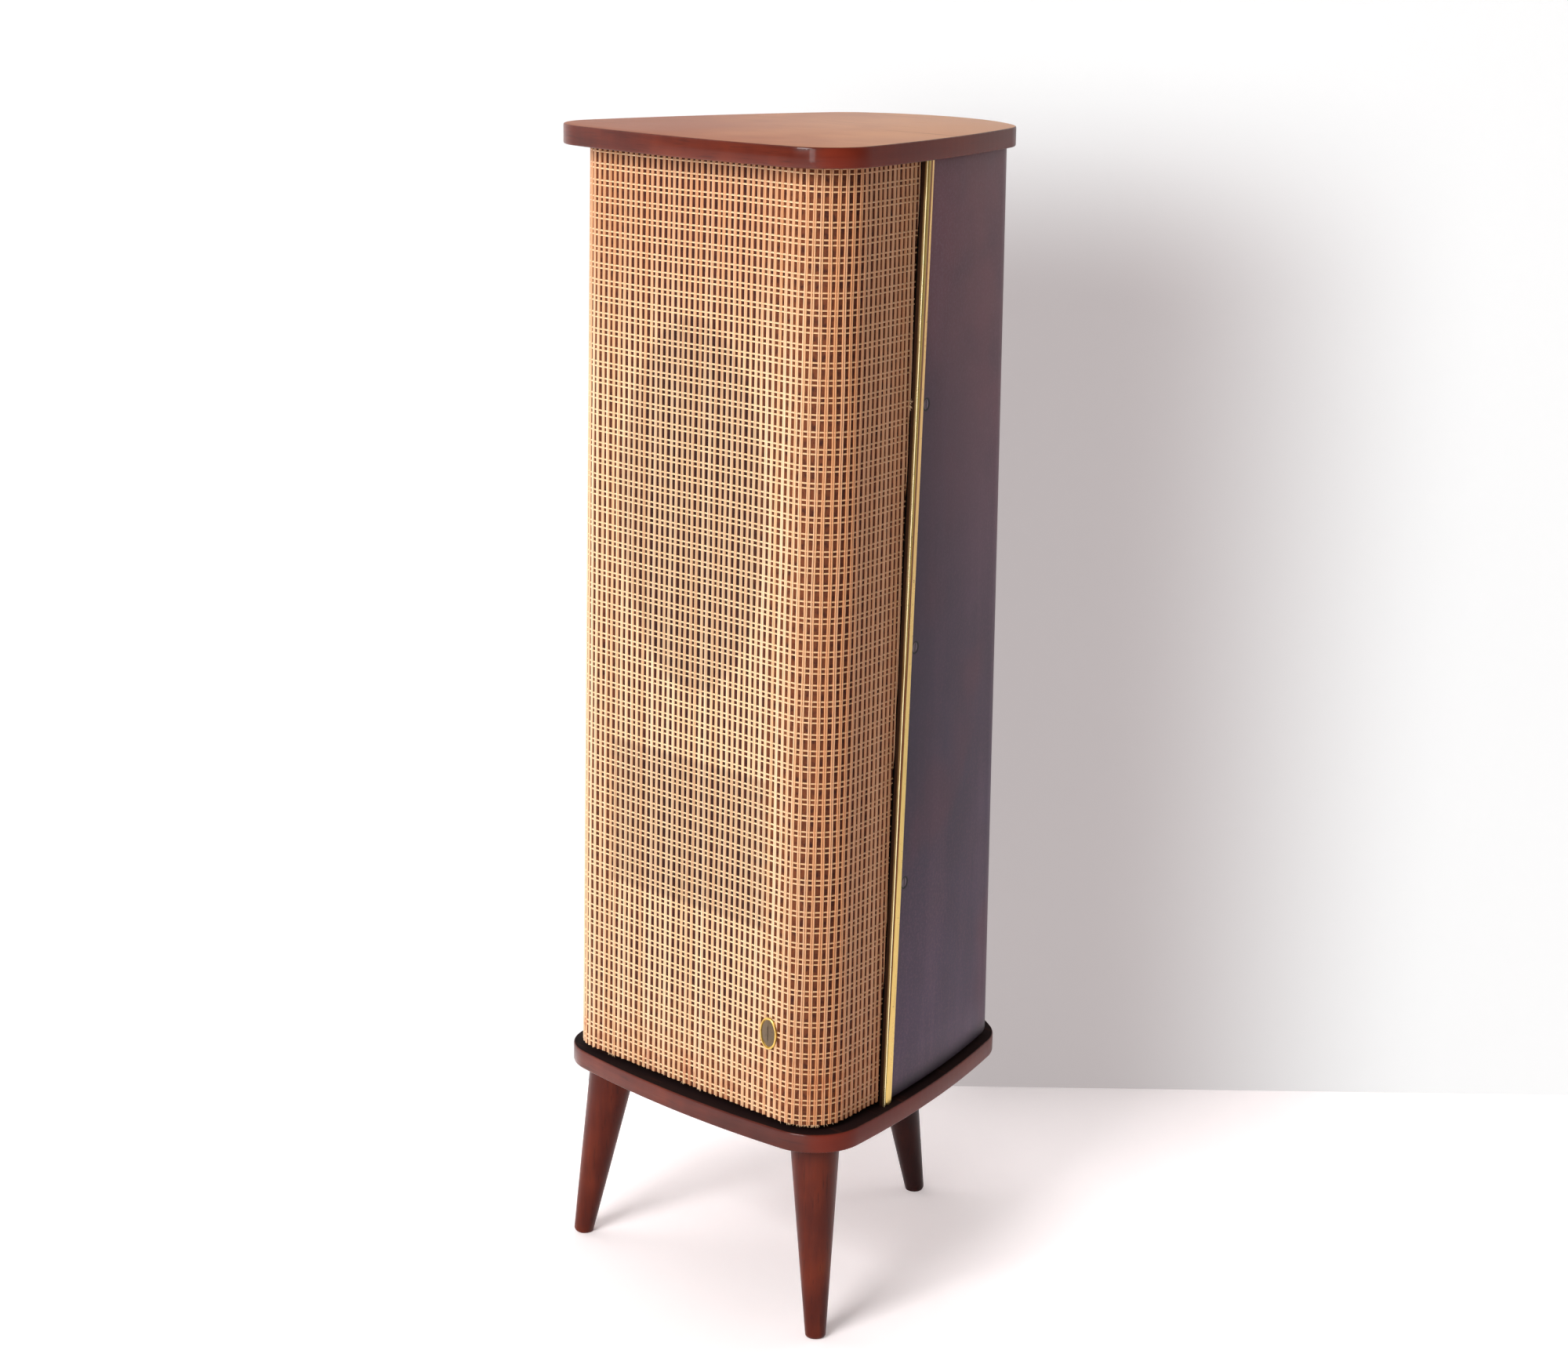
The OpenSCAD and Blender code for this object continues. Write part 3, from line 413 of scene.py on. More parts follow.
def edges_where(piece, test):
    """Selects the edges whose two ends pass the test, and goes into edit mode."""
    opened(piece, "EDGE")
    bpy.ops.mesh.select_all(action="DESELECT")
    bpy.ops.object.mode_set(mode="OBJECT")
    points = piece.data.vertices
    for edge in piece.data.edges:
        edge.select = all(test(points[i].co) for i in edge.vertices)
    bpy.ops.object.mode_set(mode="EDIT")


def applied(piece, kind, **settings):
    """Adds a modifier and applies it."""
    pick(piece)
    modifier = piece.modifiers.new("step", kind)
    for name, value in settings.items():
        setattr(modifier, name, value)
    bpy.ops.object.modifier_apply(modifier=modifier.name)


def cut(piece, cutter):
    """Takes the cutter's shape out of the piece, and the cutter away."""
    applied(piece, "BOOLEAN", object=cutter, operation="DIFFERENCE", solver="EXACT")
    bpy.data.objects.remove(cutter)


def countersunk(piece, sides, radii, deep, at, turn=(0, 0, 0)):
    """Cuts a screw's conical recess. The radii are at the cone's lower and upper end."""
    low_r, high_r = radii
    cut(piece, fresh(bpy.ops.mesh.primitive_cone_add, "recess", vertices=sides, radius1=low_r * mm,
                     radius2=high_r * mm, depth=deep * mm, location=at, rotation=turn))


def faced_out():
    """Turns every face outwards and leaves edit mode."""
    bpy.ops.mesh.select_all(action="SELECT")
    bpy.ops.mesh.normals_make_consistent(inside=False)
    bpy.ops.object.mode_set(mode="OBJECT")


def smooth(piece, degrees=35):
    pick(piece)
    bpy.ops.object.shade_smooth_by_angle(angle=math.radians(degrees))


def done(piece, material, body="cabinet", stands_for=()):
    """Puts the finish on, and hangs the piece on its CAD body."""
    pick(piece)
    bpy.ops.object.transform_apply(location=True, rotation=True, scale=True)
    piece.data.materials.clear()
    piece.data.materials.append(material)
    if stands_for:
        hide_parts(*stands_for)
    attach(piece, body)


def prism(name, outline, way):
    """A face with this outline, drawn out along the way into a solid."""
    piece = fresh(bpy.ops.mesh.primitive_circle_add, name, vertices=len(outline), fill_type="NGON")
    for vertex, place in zip(piece.data.vertices, outline):
        vertex.co = place
    opened(piece, "FACE")
    bpy.ops.mesh.extrude_region_move(TRANSFORM_OT_translate={"value": way})
    faced_out()
    return piece


def soften(piece, test, width, segments=3):
    """Bevels the edges that pass the test."""
    edges_where(piece, test)
    bpy.ops.mesh.bevel(offset=width, segments=segments, affect="EDGES")
    bpy.ops.object.mode_set(mode="OBJECT")


def mahogany(name, grain, seed, edge_grain=None, nicks=(), upper=(), figure=0.60, dark=0.0):
    """Reddish stained hardwood under satin lacquer, its grain along one axis.

    edge_grain is for a board's rim, and nicks are places where the lacquer has chipped. upper is
    for the face that looks up: its colour, its lighter colour towards the back and right, how much
    of both, and how matt it is.
    """
    finish = Finish(name)
    moved = finish.vector("ADD", finish.here, seed)
    aside, _, facing = finish.facing()
    warp = finish.noise(9.0, 2.0, 0.5, at=moved)
    cloud = finish.noise(14.0, 3.0, 0.55, at=moved)
    along = finish.stretched(grain, moved)
    streaks = finish.noise(115.0, 5.0, 0.62, at=along)
    pores = finish.noise(620.0, 2.0, 0.5, at=along)
    rim = 0.0
    if edge_grain:
        rim = abs(facing).between(0.85, 0.5)
        round_rim = finish.stretched(edge_grain, moved)
        streaks = streaks * (1.0 - rim) + finish.noise(150.0, 5.0, 0.6, at=round_rim) * rim
        pores = pores * (1.0 - rim) + finish.noise(760.0, 2.0, 0.5, at=round_rim) * rim
    lines = figure - rim * 0.34
    depth = streaks * lines + cloud * (0.88 - lines) + warp * 0.12
    painted_right_rim = aside.between(0.45, 0.85)
    colour = finish.coated(
        finish.ramp(
            depth, (0.30, "#380e06"), (0.46, "#4f190c"), (0.56, "#5f2210"), (0.70, "#783619")),
        (pores.between(0.42, 0.30) * 0.5, "#34110a"),
        # dark lays painted shade over the whole piece.
        (dark, "#1c0608"),
        # Rims that face right are painted a lighter red, as painted light on that side.
        (rim * painted_right_rim * 0.5, "#7c2c1e"))
    for at, reach in nicks:
        away = finish.vector("DISTANCE", finish.here, at)["Value"]
        ragged = away + finish.noise(900.0, 2.0, 0.5) * 0.0016
        colour = finish.mix(ragged.between(reach + 0.0009, reach), colour, "#c79a84")
    ledge = matt = 0.0
    if upper:
        stain, back_right_tone, part, matt = upper
        ledge = facing.between(0.80, 0.97)
        x, y, z = finish.axes()
        back_right_share = (x * 3.0 + y * 3.4 + cloud * 0.9).between(-0.25, 0.95)
        face = finish.mix(back_right_share, stain, back_right_tone)
        face = finish.mix(streaks.between(0.42, 0.30) * 0.3, face, "#5a2a18")
        colour = finish.mix(ledge * part, colour, face)
    return finish.surface(
        colour, rough=cloud * 0.14 + 0.27 + ledge * matt,
        bump=(pores * 0.5 + streaks * 0.5, 0.0002, 0.25),
        others={
            "Coat Weight": 0.10 + rim * (0.28 - painted_right_rim * 0.32) - ledge * 0.10,
            "Coat Roughness": 0.10, "Specular IOR Level": 0.12})


def on_rim(z0, z1):
    return lambda co: abs(co.z - z0) < 1e-5 or abs(co.z - z1) < 1e-5


board_grain, rim_grain = (0.06, 1.0, 1.0), (0.05, 0.05, 1.0)
chips = [((-0.1300, -0.1310, 0.8905), 0.0012), ((-0.1215, -0.1345, 0.8925), 0.0009)]
plate_wood = mahogany("lacquered_plate", board_grain, (0.0, 0.0, 0.0), rim_grain, nicks=chips,
                      upper=("#98583a", "#c8926f", 1.0, 0.14))
# The base board's upward face is coloured near black.
base_wood = mahogany("lacquered_base", board_grain, (0.7, 0.1, 0.0), rim_grain,
                     upper=("#0d0405", "#180706", 0.97, 0.50))
base_screws = [(60, 80), (-60, 80), (45, 205), (-45, 205)]
for name, stands_for, wood, push, z0, screws in (
        ("top_board_lacquered", "top_plate", plate_wood, 0.0, body_top, []),
        ("base_board_lacquered", "base_plate", base_wood, rake, leg_h, base_screws)):
    outline = [(p.real, p.imag + push - plan_mid_y, z0) for p in plate_outline()]
    plate = prism(name, outline, (0, 0, plate_t))
    soften(plate, on_rim(z0, z0 + plate_t), rim_round)
    for x, y in screws:
        at = (x * mm, y * mm - plan_mid_y, z0 + 1.05 * mm)
        countersunk(plate, 32, (3.9, 1.9), 2.2, at)
    smooth(plate)
    done(plate, wood, stands_for=[stands_for])

# The rear shell is one bent sheet, glued and lacquered aubergine. It leans with the plates, ends
# at the brass trims, and has a slot over the sockets and countersunk holes for its screws.
shell_inset, shell_t = 6.7 * mm, 8 * mm
edge_y_bottom, edge_y_top = 92 * mm, 122 * mm
front_y_bottom, front_y_top = 7 * mm, 14 * mm
trim_w, trim_t = 7 * mm, 1 * mm


def share(z):
    return (z - body_bottom) / body_h


def shift(z):
    return rake * (1 - share(z))


def edge_y(z):
    return edge_y_bottom + (edge_y_top - edge_y_bottom) * share(z)


def side_heading(inset, z, y):
    return math.asin((y - side_c.imag - shift(z)) / (side_r - inset))


def on_side(inset, z, y):
    return side_c + 1j * shift(z) + cmath.rect(side_r - inset, side_heading(inset, z, y))


def lofted(name, rings, closed_round=False, capped=False):
    """A skin through rings of the same count, worked from a flat grid."""
    count = len(rings[0]) + (1 if closed_round else 0)
    piece = fresh(bpy.ops.mesh.primitive_grid_add, name,
                  x_subdivisions=count - 1, y_subdivisions=len(rings) - 1)
    for j, ring in enumerate(rings):
        for i in range(count):
            piece.data.vertices[j * count + i].co = ring[i % len(ring)]
    opened(piece)
    bpy.ops.mesh.remove_doubles(threshold=1e-6)
    if capped:
        bpy.ops.mesh.select_all(action="SELECT")
        bpy.ops.mesh.fill_holes(sides=0)
    faced_out()
    return piece


def shell_ring(z):
    start = side_heading(shell_inset, z, edge_y(z) + trim_t + 0.1 * mm)
    up = 1j * shift(z)
    half = arc(side_c + up, side_r - shell_inset, start, side_end, 30)
    half += arc(rear_corner_c + up, rear_corner_r - shell_inset, side_end, rear_turn, 22)
    half += arc(rear_c + up, rear_r - shell_inset, rear_turn, math.pi / 2, 14)
    first = side_c + up + cmath.rect(side_r - shell_inset, start)
    half = [first] + half
    whole = half + [-p.conjugate() for p in reversed(half[:-1])]
    return [(p.real, p.imag - plan_mid_y, z) for p in whole]


shell = lofted("bent_shell", [shell_ring(body_bottom + body_h * i / 18) for i in range(19)])
middle = shell.data.polygons[len(shell.data.polygons) // 2]
if middle.normal.y < 0 and middle.center.y > 0:
    shell.data.flip_normals()
applied(shell, "SOLIDIFY", thickness=shell_t, offset=-1, use_even_offset=True)
applied(shell, "BEVEL", width=0.7 * mm, segments=2, limit_method="ANGLE",
        angle_limit=math.radians(50))

# The slot over the sockets is two half circles drawn apart, cut straight forward through the back.
socket_z, slot_r, slot_half = body_bottom + 58 * mm, 12 * mm, 13 * mm
round_slot = [2 * math.pi * (i + 0.5) / 48 for i in range(48)]
cut(shell, prism("slot", [(slot_r * math.cos(a) + math.copysign(slot_half, math.cos(a)), 0.10,
                           socket_z + slot_r * math.sin(a)) for a in round_slot], (0, 0.1, 0)))

screw_back, screw_first, screw_pitch = 7.5 * mm, 171, 182
screw_heights = [body_bottom + (screw_first + screw_pitch * i) * mm for i in range(3)]
for side in (1, -1):
    for z in screw_heights:
        y = edge_y(z) + trim_w + screw_back
        p = on_side(shell_inset, z, y)
        out = cmath.rect(1, side_heading(shell_inset, z, y))
        axis = Vector((side * out.real, out.imag, 0))
        at = Vector((side * p.real, p.imag - plan_mid_y, z)) - axis * 0.8 * mm
        countersunk(shell, 40, (1.9, 4.5), 2.6, at, axis.to_track_quat("Z", "Y").to_euler())
smooth(shell, 30)

finish = Finish("aubergine_lacquer")
x, y, z = finish.axes()
cloud = finish.noise(7.0)
speckle = finish.noise(420.0, 3.0, 0.7)
smear = finish.noise(40.0, 4.0, 0.6, stretch=(1.0, 1.0, 0.12))
red_cloud = finish.noise(11.0, 2.0, 0.5, stretch=(1.0, 1.0, 0.6))
# middle marks a dark patch at mid-height near the trims, which is painted shade.
middle = z.between(0.28, 0.46) * z.between(0.84, 0.66) * x.between(0.088, 0.138)
screw_line = z * ((edge_y_top - edge_y_bottom) / body_h) + (
    edge_y(0) + trim_w + screw_back - plan_mid_y)
turns = ((z - screw_heights[0]) / (screw_pitch * mm) + 10.5).part() - 0.5
from_screw = ((y - screw_line) ** 2 + (turns * (screw_pitch * mm)) ** 2) ** 0.5
# recess marks the ring round each screw hole, which is painted dark as painted shade.
recess = from_screw.between(3.2 * mm, 3.6 * mm) * from_screw.between(5.2 * mm, 4.8 * mm)
# The shell's front end faces, seen in the gap beside the trims, are painted black as painted shade.
end_face_painted_shade = finish.facing()[1].between(-0.55, -0.75) * y.between(0.04, 0.0)
colour = finish.coated(
    # The lighter, redder upper part of the shell is a painted reflection.
    finish.mix(z.between(0.35, 0.86), "#4e3a55", "#6d4048"),
    (cloud.between(0.35, 0.68) * 0.62, "#3c2438"),
    (red_cloud.between(0.50, 0.66) * 0.34, "#78404c"),
    (smear.between(0.45, 0.75) * 0.22, "#6d4f60"),
    (speckle.between(0.42, 0.70) * 0.24, "#83606f"),
    (middle * 0.72, "#231a2e"),
    (smear.between(0.62, 0.40) * z.between(0.70, 0.40) * 0.25, "#352a3e"),
    # Painted shade darkens the shell over its lowest 16 mm, towards the gap beneath it.
    (z.between(body_bottom + 16 * mm, body_bottom) * 0.85, "#120d14"),
    (recess * 0.92, "#0c080c"),
    (end_face_painted_shade, "#070505"))
shell_paint = finish.surface(
    colour, rough=0.36 + speckle * 0.1 + end_face_painted_shade * 0.5,
    bump=(speckle * 0.3 + cloud * 0.7, 0.0002, 0.12), others={"Specular IOR Level": 0.16})
done(shell, shell_paint, stands_for=["rear_shell"])


def put(material, *names):
    """Gives CAD nodes this finish."""
    for name in names:
        nodes[name].data.materials.clear()
        nodes[name].data.materials.append(material)


finish = Finish("painted_screw_heads")
chips = finish.noise(700.0)
worn = chips.between(0.58, 0.68)
painted_steel = finish.surface(
    finish.mix(worn, "#523f4e", "#6f6668"), rough=0.4 + chips * 0.2, bump=(chips, 0.0001, 0.4),
    metallic=worn * 0.8)
put(painted_steel, "shell_screws")

# The brass edge trims are drawn sections. A flat band lies over the shell's front edge, a narrow
# channel runs ahead of it, and a thin web turns in beside the cloth. Their lower ends are rounded.
trim_web = 4.8 * mm
# The section's corners, in millimetres behind the shell's edge line and out from its face.
band = [(-1.0, 0.80), (-0.88, 0.96), (-0.65, 1.0), (-0.45, 0.92), (-0.38, 0.70), (-0.34, -0.6),
        (0.06, -0.6), (1.05, 0.14), (1.12, 0.70), (1.30, 0.92), (1.6, 1.0), (4.6, 0.93),
        (5.0, 0.90), (5.4, 0.93), (8.3, 1.0), (8.7, 0.94), (9.0, 0.76), (9.1, 0.5), (9.1, 0.1),
        (0.06, 0.1), (0.0, 1 - trim_web / mm), (-0.25, 0.88 - trim_web / mm),
        (-0.75, 0.88 - trim_web / mm), (-1.0, 1 - trim_web / mm)]
trim_from, trim_to = base_top + 0.5 * mm, body_top - 0.5 * mm
trim_levels = [trim_from + i * 0.5 * mm for i in range(7)]
trim_levels += [trim_from + (trim_to - trim_from) * i / 24 for i in range(1, 25)]


def trim_ring(z, side):
    """The section at this height, drawn in towards its middle where the lower end is rounded."""
    y = edge_y(z)
    p = on_side(shell_inset, z, y)
    out = cmath.rect(1, side_heading(shell_inset, z, y))
    up = z - trim_from
    lower = 3.0 * mm
    keep = 1.0 if up >= lower else math.sqrt(max(1 - (1 - up / lower) ** 2, 0.03))
    ring = []
    for along, outward in band:
        if along > 1.01:
            along = 5.0 + (along - 5.0) * keep
        q = p + out * 1j * along * mm + out * outward * mm
        ring.append((side * q.real, q.imag - plan_mid_y, z))
    return ring


finish = Finish("worn_brass_painted_reflection")
drawn = finish.noise(900.0, 2.0, 0.6, stretch=(1.0, 1.0, 0.02))
tarnish = finish.noise(60.0, 4.0, 0.65, stretch=(1.0, 1.0, 0.25))
spots = finish.noise(330.0)
along, outward = finish.carried("along"), finish.carried("outward")
height = finish.axes()[2]
# The web's inner part and its face are painted dark brown, as painted shade and painted reflection.
web_painted_shade = outward.between(-0.4, -1.6) * along.between(-0.1, -0.4)
face = outward.between(0.72, 0.50) * along.between(-0.1, -0.4)
channel = along.between(-0.40, -0.32) * along.between(1.15, 1.0)
# The band is split into light gold and darker olive and brown stripes, which move with height: a
# painted reflection.
reflection_edge = (height - 0.2) * 8.0 + 1.0 + (tarnish - 0.5) * 0.8
painted_reflection = (along - reflection_edge).between(-0.3, 0.3)
dull = finish.mix((along - reflection_edge).between(-2.6, -2.2), "#a3894a", "#6b3f1f")
painted_light_gold = finish.mix(height.between(0.35, 0.75), "#dcbc6c", "#dcb070")
# The bead is painted near white, as a painted highlight.
painted_bead_highlight = along.between(-0.34, -0.42) * (1.0 - web_painted_shade)
colour = finish.coated(
    finish.mix(painted_reflection, dull, painted_light_gold),
    (painted_bead_highlight, "#fff0b8"),
    (tarnish.between(0.50, 0.72) * 0.35, "#8c6a38"),
    (spots.between(0.63, 0.74) * 0.6, "#5c4424"),
    (channel * (0.55 + height.between(0.45, 0.25) * 0.4), "#1b130a"),
    (face * (0.78 + tarnish * 0.3), "#5c3e18"),
    (web_painted_shade * 0.9, "#2c140c"),
    # The band's rear edge beside the shell is darkened as painted shade.
    (along.between(8.6, 9.0) * 0.7, "#1d1210"))
worn_brass_painted_reflection = finish.surface(
    colour, rough=0.16 + tarnish * 0.18 + drawn * 0.08 + channel * 0.2 + web_painted_shade * 0.3,
    bump=(drawn, 0.0001, 0.2),
    metallic=(1.0 - spots.between(0.65, 0.75) * 0.35) * (1.0 - channel * 0.7) * 0.85)
for side, where in ((-1, "left"), (1, "right")):
    trim = lofted("brass_trim_" + where, [trim_ring(z, side) for z in trim_levels],
                  closed_round=True, capped=True)
    smooth(trim, 50)
    measures = [trim.data.attributes.new(name, "FLOAT", "POINT") for name in ("along", "outward")]
    for i, vertex in enumerate(trim.data.vertices):
        z = vertex.co.z
        edge = on_side(shell_inset, z, edge_y(z))
        out = cmath.rect(1, side_heading(shell_inset, z, edge_y(z)))
        step = complex(abs(vertex.co.x), vertex.co.y + plan_mid_y) - edge
        measures[0].data[i].value = (step / (out * 1j)).real / mm
        measures[1].data[i].value = (step / out).real / mm
    done(trim, worn_brass_painted_reflection, stands_for=["edge_trim_" + where])

# The grille is a brown ground cloth with pairs of split straw laid up it, tied down by thin
# threads that cross in pairs. It is pulled round the front's two corners and glued to the posts.
cloth_inset, cloth_corner_r, cloth_t, cloth_gap = 11.5 * mm, 32.5 * mm, 1.2 * mm, 1.5 * mm
cloth_from, cloth_to = body_bottom, body_top - 1 * mm
ground_t = 0.25 * mm
ground_in = cloth_t - ground_t
straw_w, straw_apart, pair_pitch = 1.5 * mm, 1.52 * mm, 5.8 * mm
straw_h = 0.85 * mm
thread_period, thread_apart, thread_rows = 12.35 * mm, 3.6 * mm, 58
first_thread = cloth_from + 4.2 * mm


def front_y(z):
    return front_y_bottom + (front_y_top - front_y_bottom) * share(z)


def on_cloth(u, z, out=0.0):
    """The place at u along the ground cloth from the middle of the front, and out of it."""
    c = side_c + 1j * shift(z)
    y = front_y(z) + cloth_corner_r
    inner = side_r - cloth_inset - cloth_corner_r
    corner = c.real + math.sqrt(inner ** 2 - (y - c.imag) ** 2) + 1j * y
    turn = cmath.phase(corner - c)
    depth = ground_in - out
    r = cloth_corner_r - ground_in
    bend = r * (turn + math.pi / 2)
    a = abs(u)
    if a < corner.real:
        p = a + 1j * (front_y(z) + depth)
    elif a < corner.real + bend:
        p = corner + cmath.rect(cloth_corner_r - depth, (a - corner.real) / r - math.pi / 2)
    else:
        rest = (a - corner.real - bend) / (side_r - cloth_inset - ground_in)
        p = c + cmath.rect(side_r - cloth_inset - depth, turn + rest)
    return Vector((math.copysign(p.real, u), p.imag - plan_mid_y, z))


def wrapped(piece):
    """Bends a flat piece, with u along X, out along -Y and height up Z, round the front unit."""
    layers = piece.data.uv_layers
    layer = layers[0] if layers else layers.new(name="flat")
    for loop in piece.data.loops:
        co = piece.data.vertices[loop.vertex_index].co
        layer.data[loop.index].uv = (co.x, co.z)
    for vertex in piece.data.vertices:
        vertex.co = on_cloth(vertex.co.x, vertex.co.z, -vertex.co.y)


def trimmed(piece, filled):
    """Cuts the cloth off beside the brass trims."""
    edge_lean = math.atan((edge_y_top - edge_y_bottom) / body_h)
    opened(piece)
    bpy.ops.mesh.bisect(
        plane_co=(0, edge_y_bottom - cloth_gap - plan_mid_y, body_bottom),
        plane_no=(0, math.cos(edge_lean), -math.sin(edge_lean)), clear_outer=True, use_fill=filled)
    bpy.ops.object.mode_set(mode="OBJECT")


def repeated(piece, count, step):
    applied(piece, "ARRAY", count=count, use_relative_offset=False, use_constant_offset=True,
            constant_offset_displace=step)


reach = 0.236
ground = lofted("ground_cloth", [
    [(reach * i / 90, 0.0, cloth_from + (cloth_to - cloth_from) * j / 16) for i in range(-90, 91)]
    for j in range(17)])
wrapped(ground)
trimmed(ground, False)
if ground.data.polygons[len(ground.data.polygons) // 2].normal.y > 0:
    ground.data.flip_normals()
ground_area = sum(face.area for face in ground.data.polygons)
applied(ground, "SOLIDIFY", thickness=ground_t, offset=-1)
smooth(ground, 40)

random.seed(11)
pairs = 81
straws = 2 * pairs
rows = 32
straw = fresh(
    bpy.ops.mesh.primitive_grid_add, "straw_strands", x_subdivisions=5, y_subdivisions=rows)
section = [(-0.5, 0.0), (-0.40, 0.66), (-0.16, 1.0), (0.16, 1.0), (0.40, 0.66), (0.5, 0.0)]
for j in range(rows + 1):
    z = cloth_from + (cloth_to - cloth_from) * j / rows
    for i, (across, high) in enumerate(section):
        straw.data.vertices[j * 6 + i].co = ((across - 0.5) * straw_w, -high * straw_h, z)
edges_where(straw, lambda co: abs(co.y) < 1e-7)
bpy.ops.mesh.bridge_edge_loops()
bpy.ops.mesh.select_all(action="SELECT")
bpy.ops.mesh.fill_holes(sides=0)
faced_out()
repeated(straw, 2, (straw_apart, 0, 0))
repeated(straw, pairs, (pair_pitch, 0, 0))
tint, inner = (straw.data.attributes.new(name, "FLOAT", "POINT") for name in ("tint", "inner"))
# Each straw has a shade, a sway that its pair shares, one of its own, a width and a lower end.
per_straw = 6 * (rows + 1)
habit = [(random.random(), random.uniform(0, 6.28), random.uniform(0, 6.28),
          random.uniform(0.85, 1.08), random.uniform(-0.35, 0.5)) for _ in range(straws)]
for i, vertex in enumerate(straw.data.vertices):
    pair, second = divmod(i // per_straw, 2)
    shade, _, own, wide, low = habit[i // per_straw]
    shared = habit[pair * 2][1]
    base = straw_apart * second - straw_w / 2 + pair_pitch * pair
    across = (vertex.co.x - base) * wide
    inner.data[i].value = (across / mm) * (1 - 2 * second) + 0.75
    tint.data[i].value = shade
    z = vertex.co.z
    sway = 0.32 * mm * math.sin(z * 21 + shared) + 0.15 * mm * math.sin(z * 54 + shared * 2)
    sway += 0.05 * mm * math.sin(z * 63 + own)
    if z < cloth_from + 1e-6:
        z += low * mm
    vertex.co = (base + across + sway - pair_pitch * (pairs - 1) / 2,
                 vertex.co.y * (0.9 + 0.2 * shade), z)
wrapped(straw)
trimmed(straw, True)
smooth(straw, 60)

steps = 96
thread = fresh(
    bpy.ops.mesh.primitive_grid_add, "tie_threads", x_subdivisions=steps, y_subdivisions=3)
thread_w, thread_h = 1.25 * mm, 0.72 * mm
section = [(-0.5, 0.0), (-0.30, 0.85), (0.10, 1.0), (0.5, 0.0)]
for j, (up, high) in enumerate(section):
    for i in range(steps + 1):
        u = reach * (2 * i / steps - 1)
        thread.data.vertices[j * (steps + 1) + i].co = (
            u, -high * thread_h, first_thread + up * thread_w + 0.25 * mm * math.sin(u * 37))
opened(thread)
faced_out()
repeated(thread, 2, (0, 0, thread_apart))
repeated(thread, thread_rows, (0, 0, thread_period))
if thread.data.polygons[steps + 2].normal.y > 0:
    thread.data.flip_normals()
wrapped(thread)
trimmed(thread, False)
smooth(thread, 60)

oval_w, oval_h, driver_up = 155 * mm, 281 * mm, 455 * mm
vent_w, vent_h, vent_up = 170 * mm, 113 * mm, 204 * mm


def behind(finish):
    """1 over the driver's oval and the vent, which show dimly through the cloth. There the cloth is
    painted darker, as painted shade for the openings behind it.
    """
    x, y, z = finish.axes()
    driver_z, vent_z = body_bottom + driver_up, body_bottom + vent_up
    oval = ((x / (oval_w / 2)) ** 2 + ((z - driver_z) / (oval_h / 2)) ** 2).between(1.06, 0.94)
    inside = (abs(x) / (vent_w / 2)).most(abs(z - vent_z) / (vent_h / 2))
    front = y.between(-0.122, -0.128)
    return oval.most(inside.between(1.05, 0.97)) * front


finish = Finish("ground_weave")
across, up, _ = finish.axes(finish.add("ShaderNodeUVMap", {"uv_map": "flat"}))
warp_thread, weft_thread = across.waves(1.16 * mm), up.waves(0.50 * mm)
wide = finish.noise(180.0)
x, y, z = finish.axes()
# The ground is painted lighter at the left of the front, along the foot and near the right corner,
# as painted light where the lamp falls on it.
painted_lit_ground = x.between(-0.03, -0.14).most(z.between(0.27, 0.19)).most(
    x.between(0.05, 0.10) * x.between(0.146, 0.120))
colour = finish.coated(
    finish.mix(warp_thread.between(-0.6, 0.9), "#1b0908", "#4c231c"),
    (wide.between(0.35, 0.7) * 0.4, "#5e2c20"),
    # Painted shade over the oval and the vent.
    (behind(finish) * 0.55, "#1c0c0a"),
    (painted_lit_ground * wide.between(0.25, 0.60) * 0.42, "#8c4f2c"))
ground_weave = finish.surface(
    colour, rough=0.86, bump=(warp_thread * 0.5 + weft_thread * 0.3, 0.0002, 0.6),
    others={"Specular IOR Level": 0.2})

finish = Finish("split_straw")
uv = finish.add("ShaderNodeUVMap", {"uv_map": "flat"})
up = finish.axes(uv)[1]
shade, inside = finish.carried("tint"), finish.carried("inner")
fibre, patch, blotch = (
    finish.noise(1.0, at=finish.stretched((across, along, 1.0), uv))
    for across, along in ((4200.0, 55.0), (160.0, 22.0), (420.0, 160.0)))
slip = (inside - 0.75) * 0.0006
row = (up + slip - first_thread) / thread_period
row = (row + 10.0).part() * thread_period
off_tie = abs(row).least(abs(row - thread_apart)).least(abs(row - thread_period))
tie = off_tie.between(0.00050, 0.00025)
# Beside each tie the straws are darkened, as painted shade.
painted_tie_shade = off_tie.between(0.0012, 0.0006) * (1.0 - tie)
# The straws' outer edges are darkened, more so near the ties, as painted shade between the pairs.
painted_pinch_shade = off_tie.between(0.0024, 0.0004)
# The line between the two straws of a pair is darkened, as painted shade in the crease.
painted_seam_shade = inside.between(1.18, 1.44)
painted_edge_shade = inside.between(0.30 + painted_pinch_shade * 0.30, 0.04 + painted_pinch_shade * 0.18)
x, y, z = finish.axes()
stain = finish.noise(60.0).between(0.54, 0.66)
low = (z.between(0.27, 0.20) * x.between(0.04, 0.09)).most(z.between(0.215, 0.180) * 0.9)
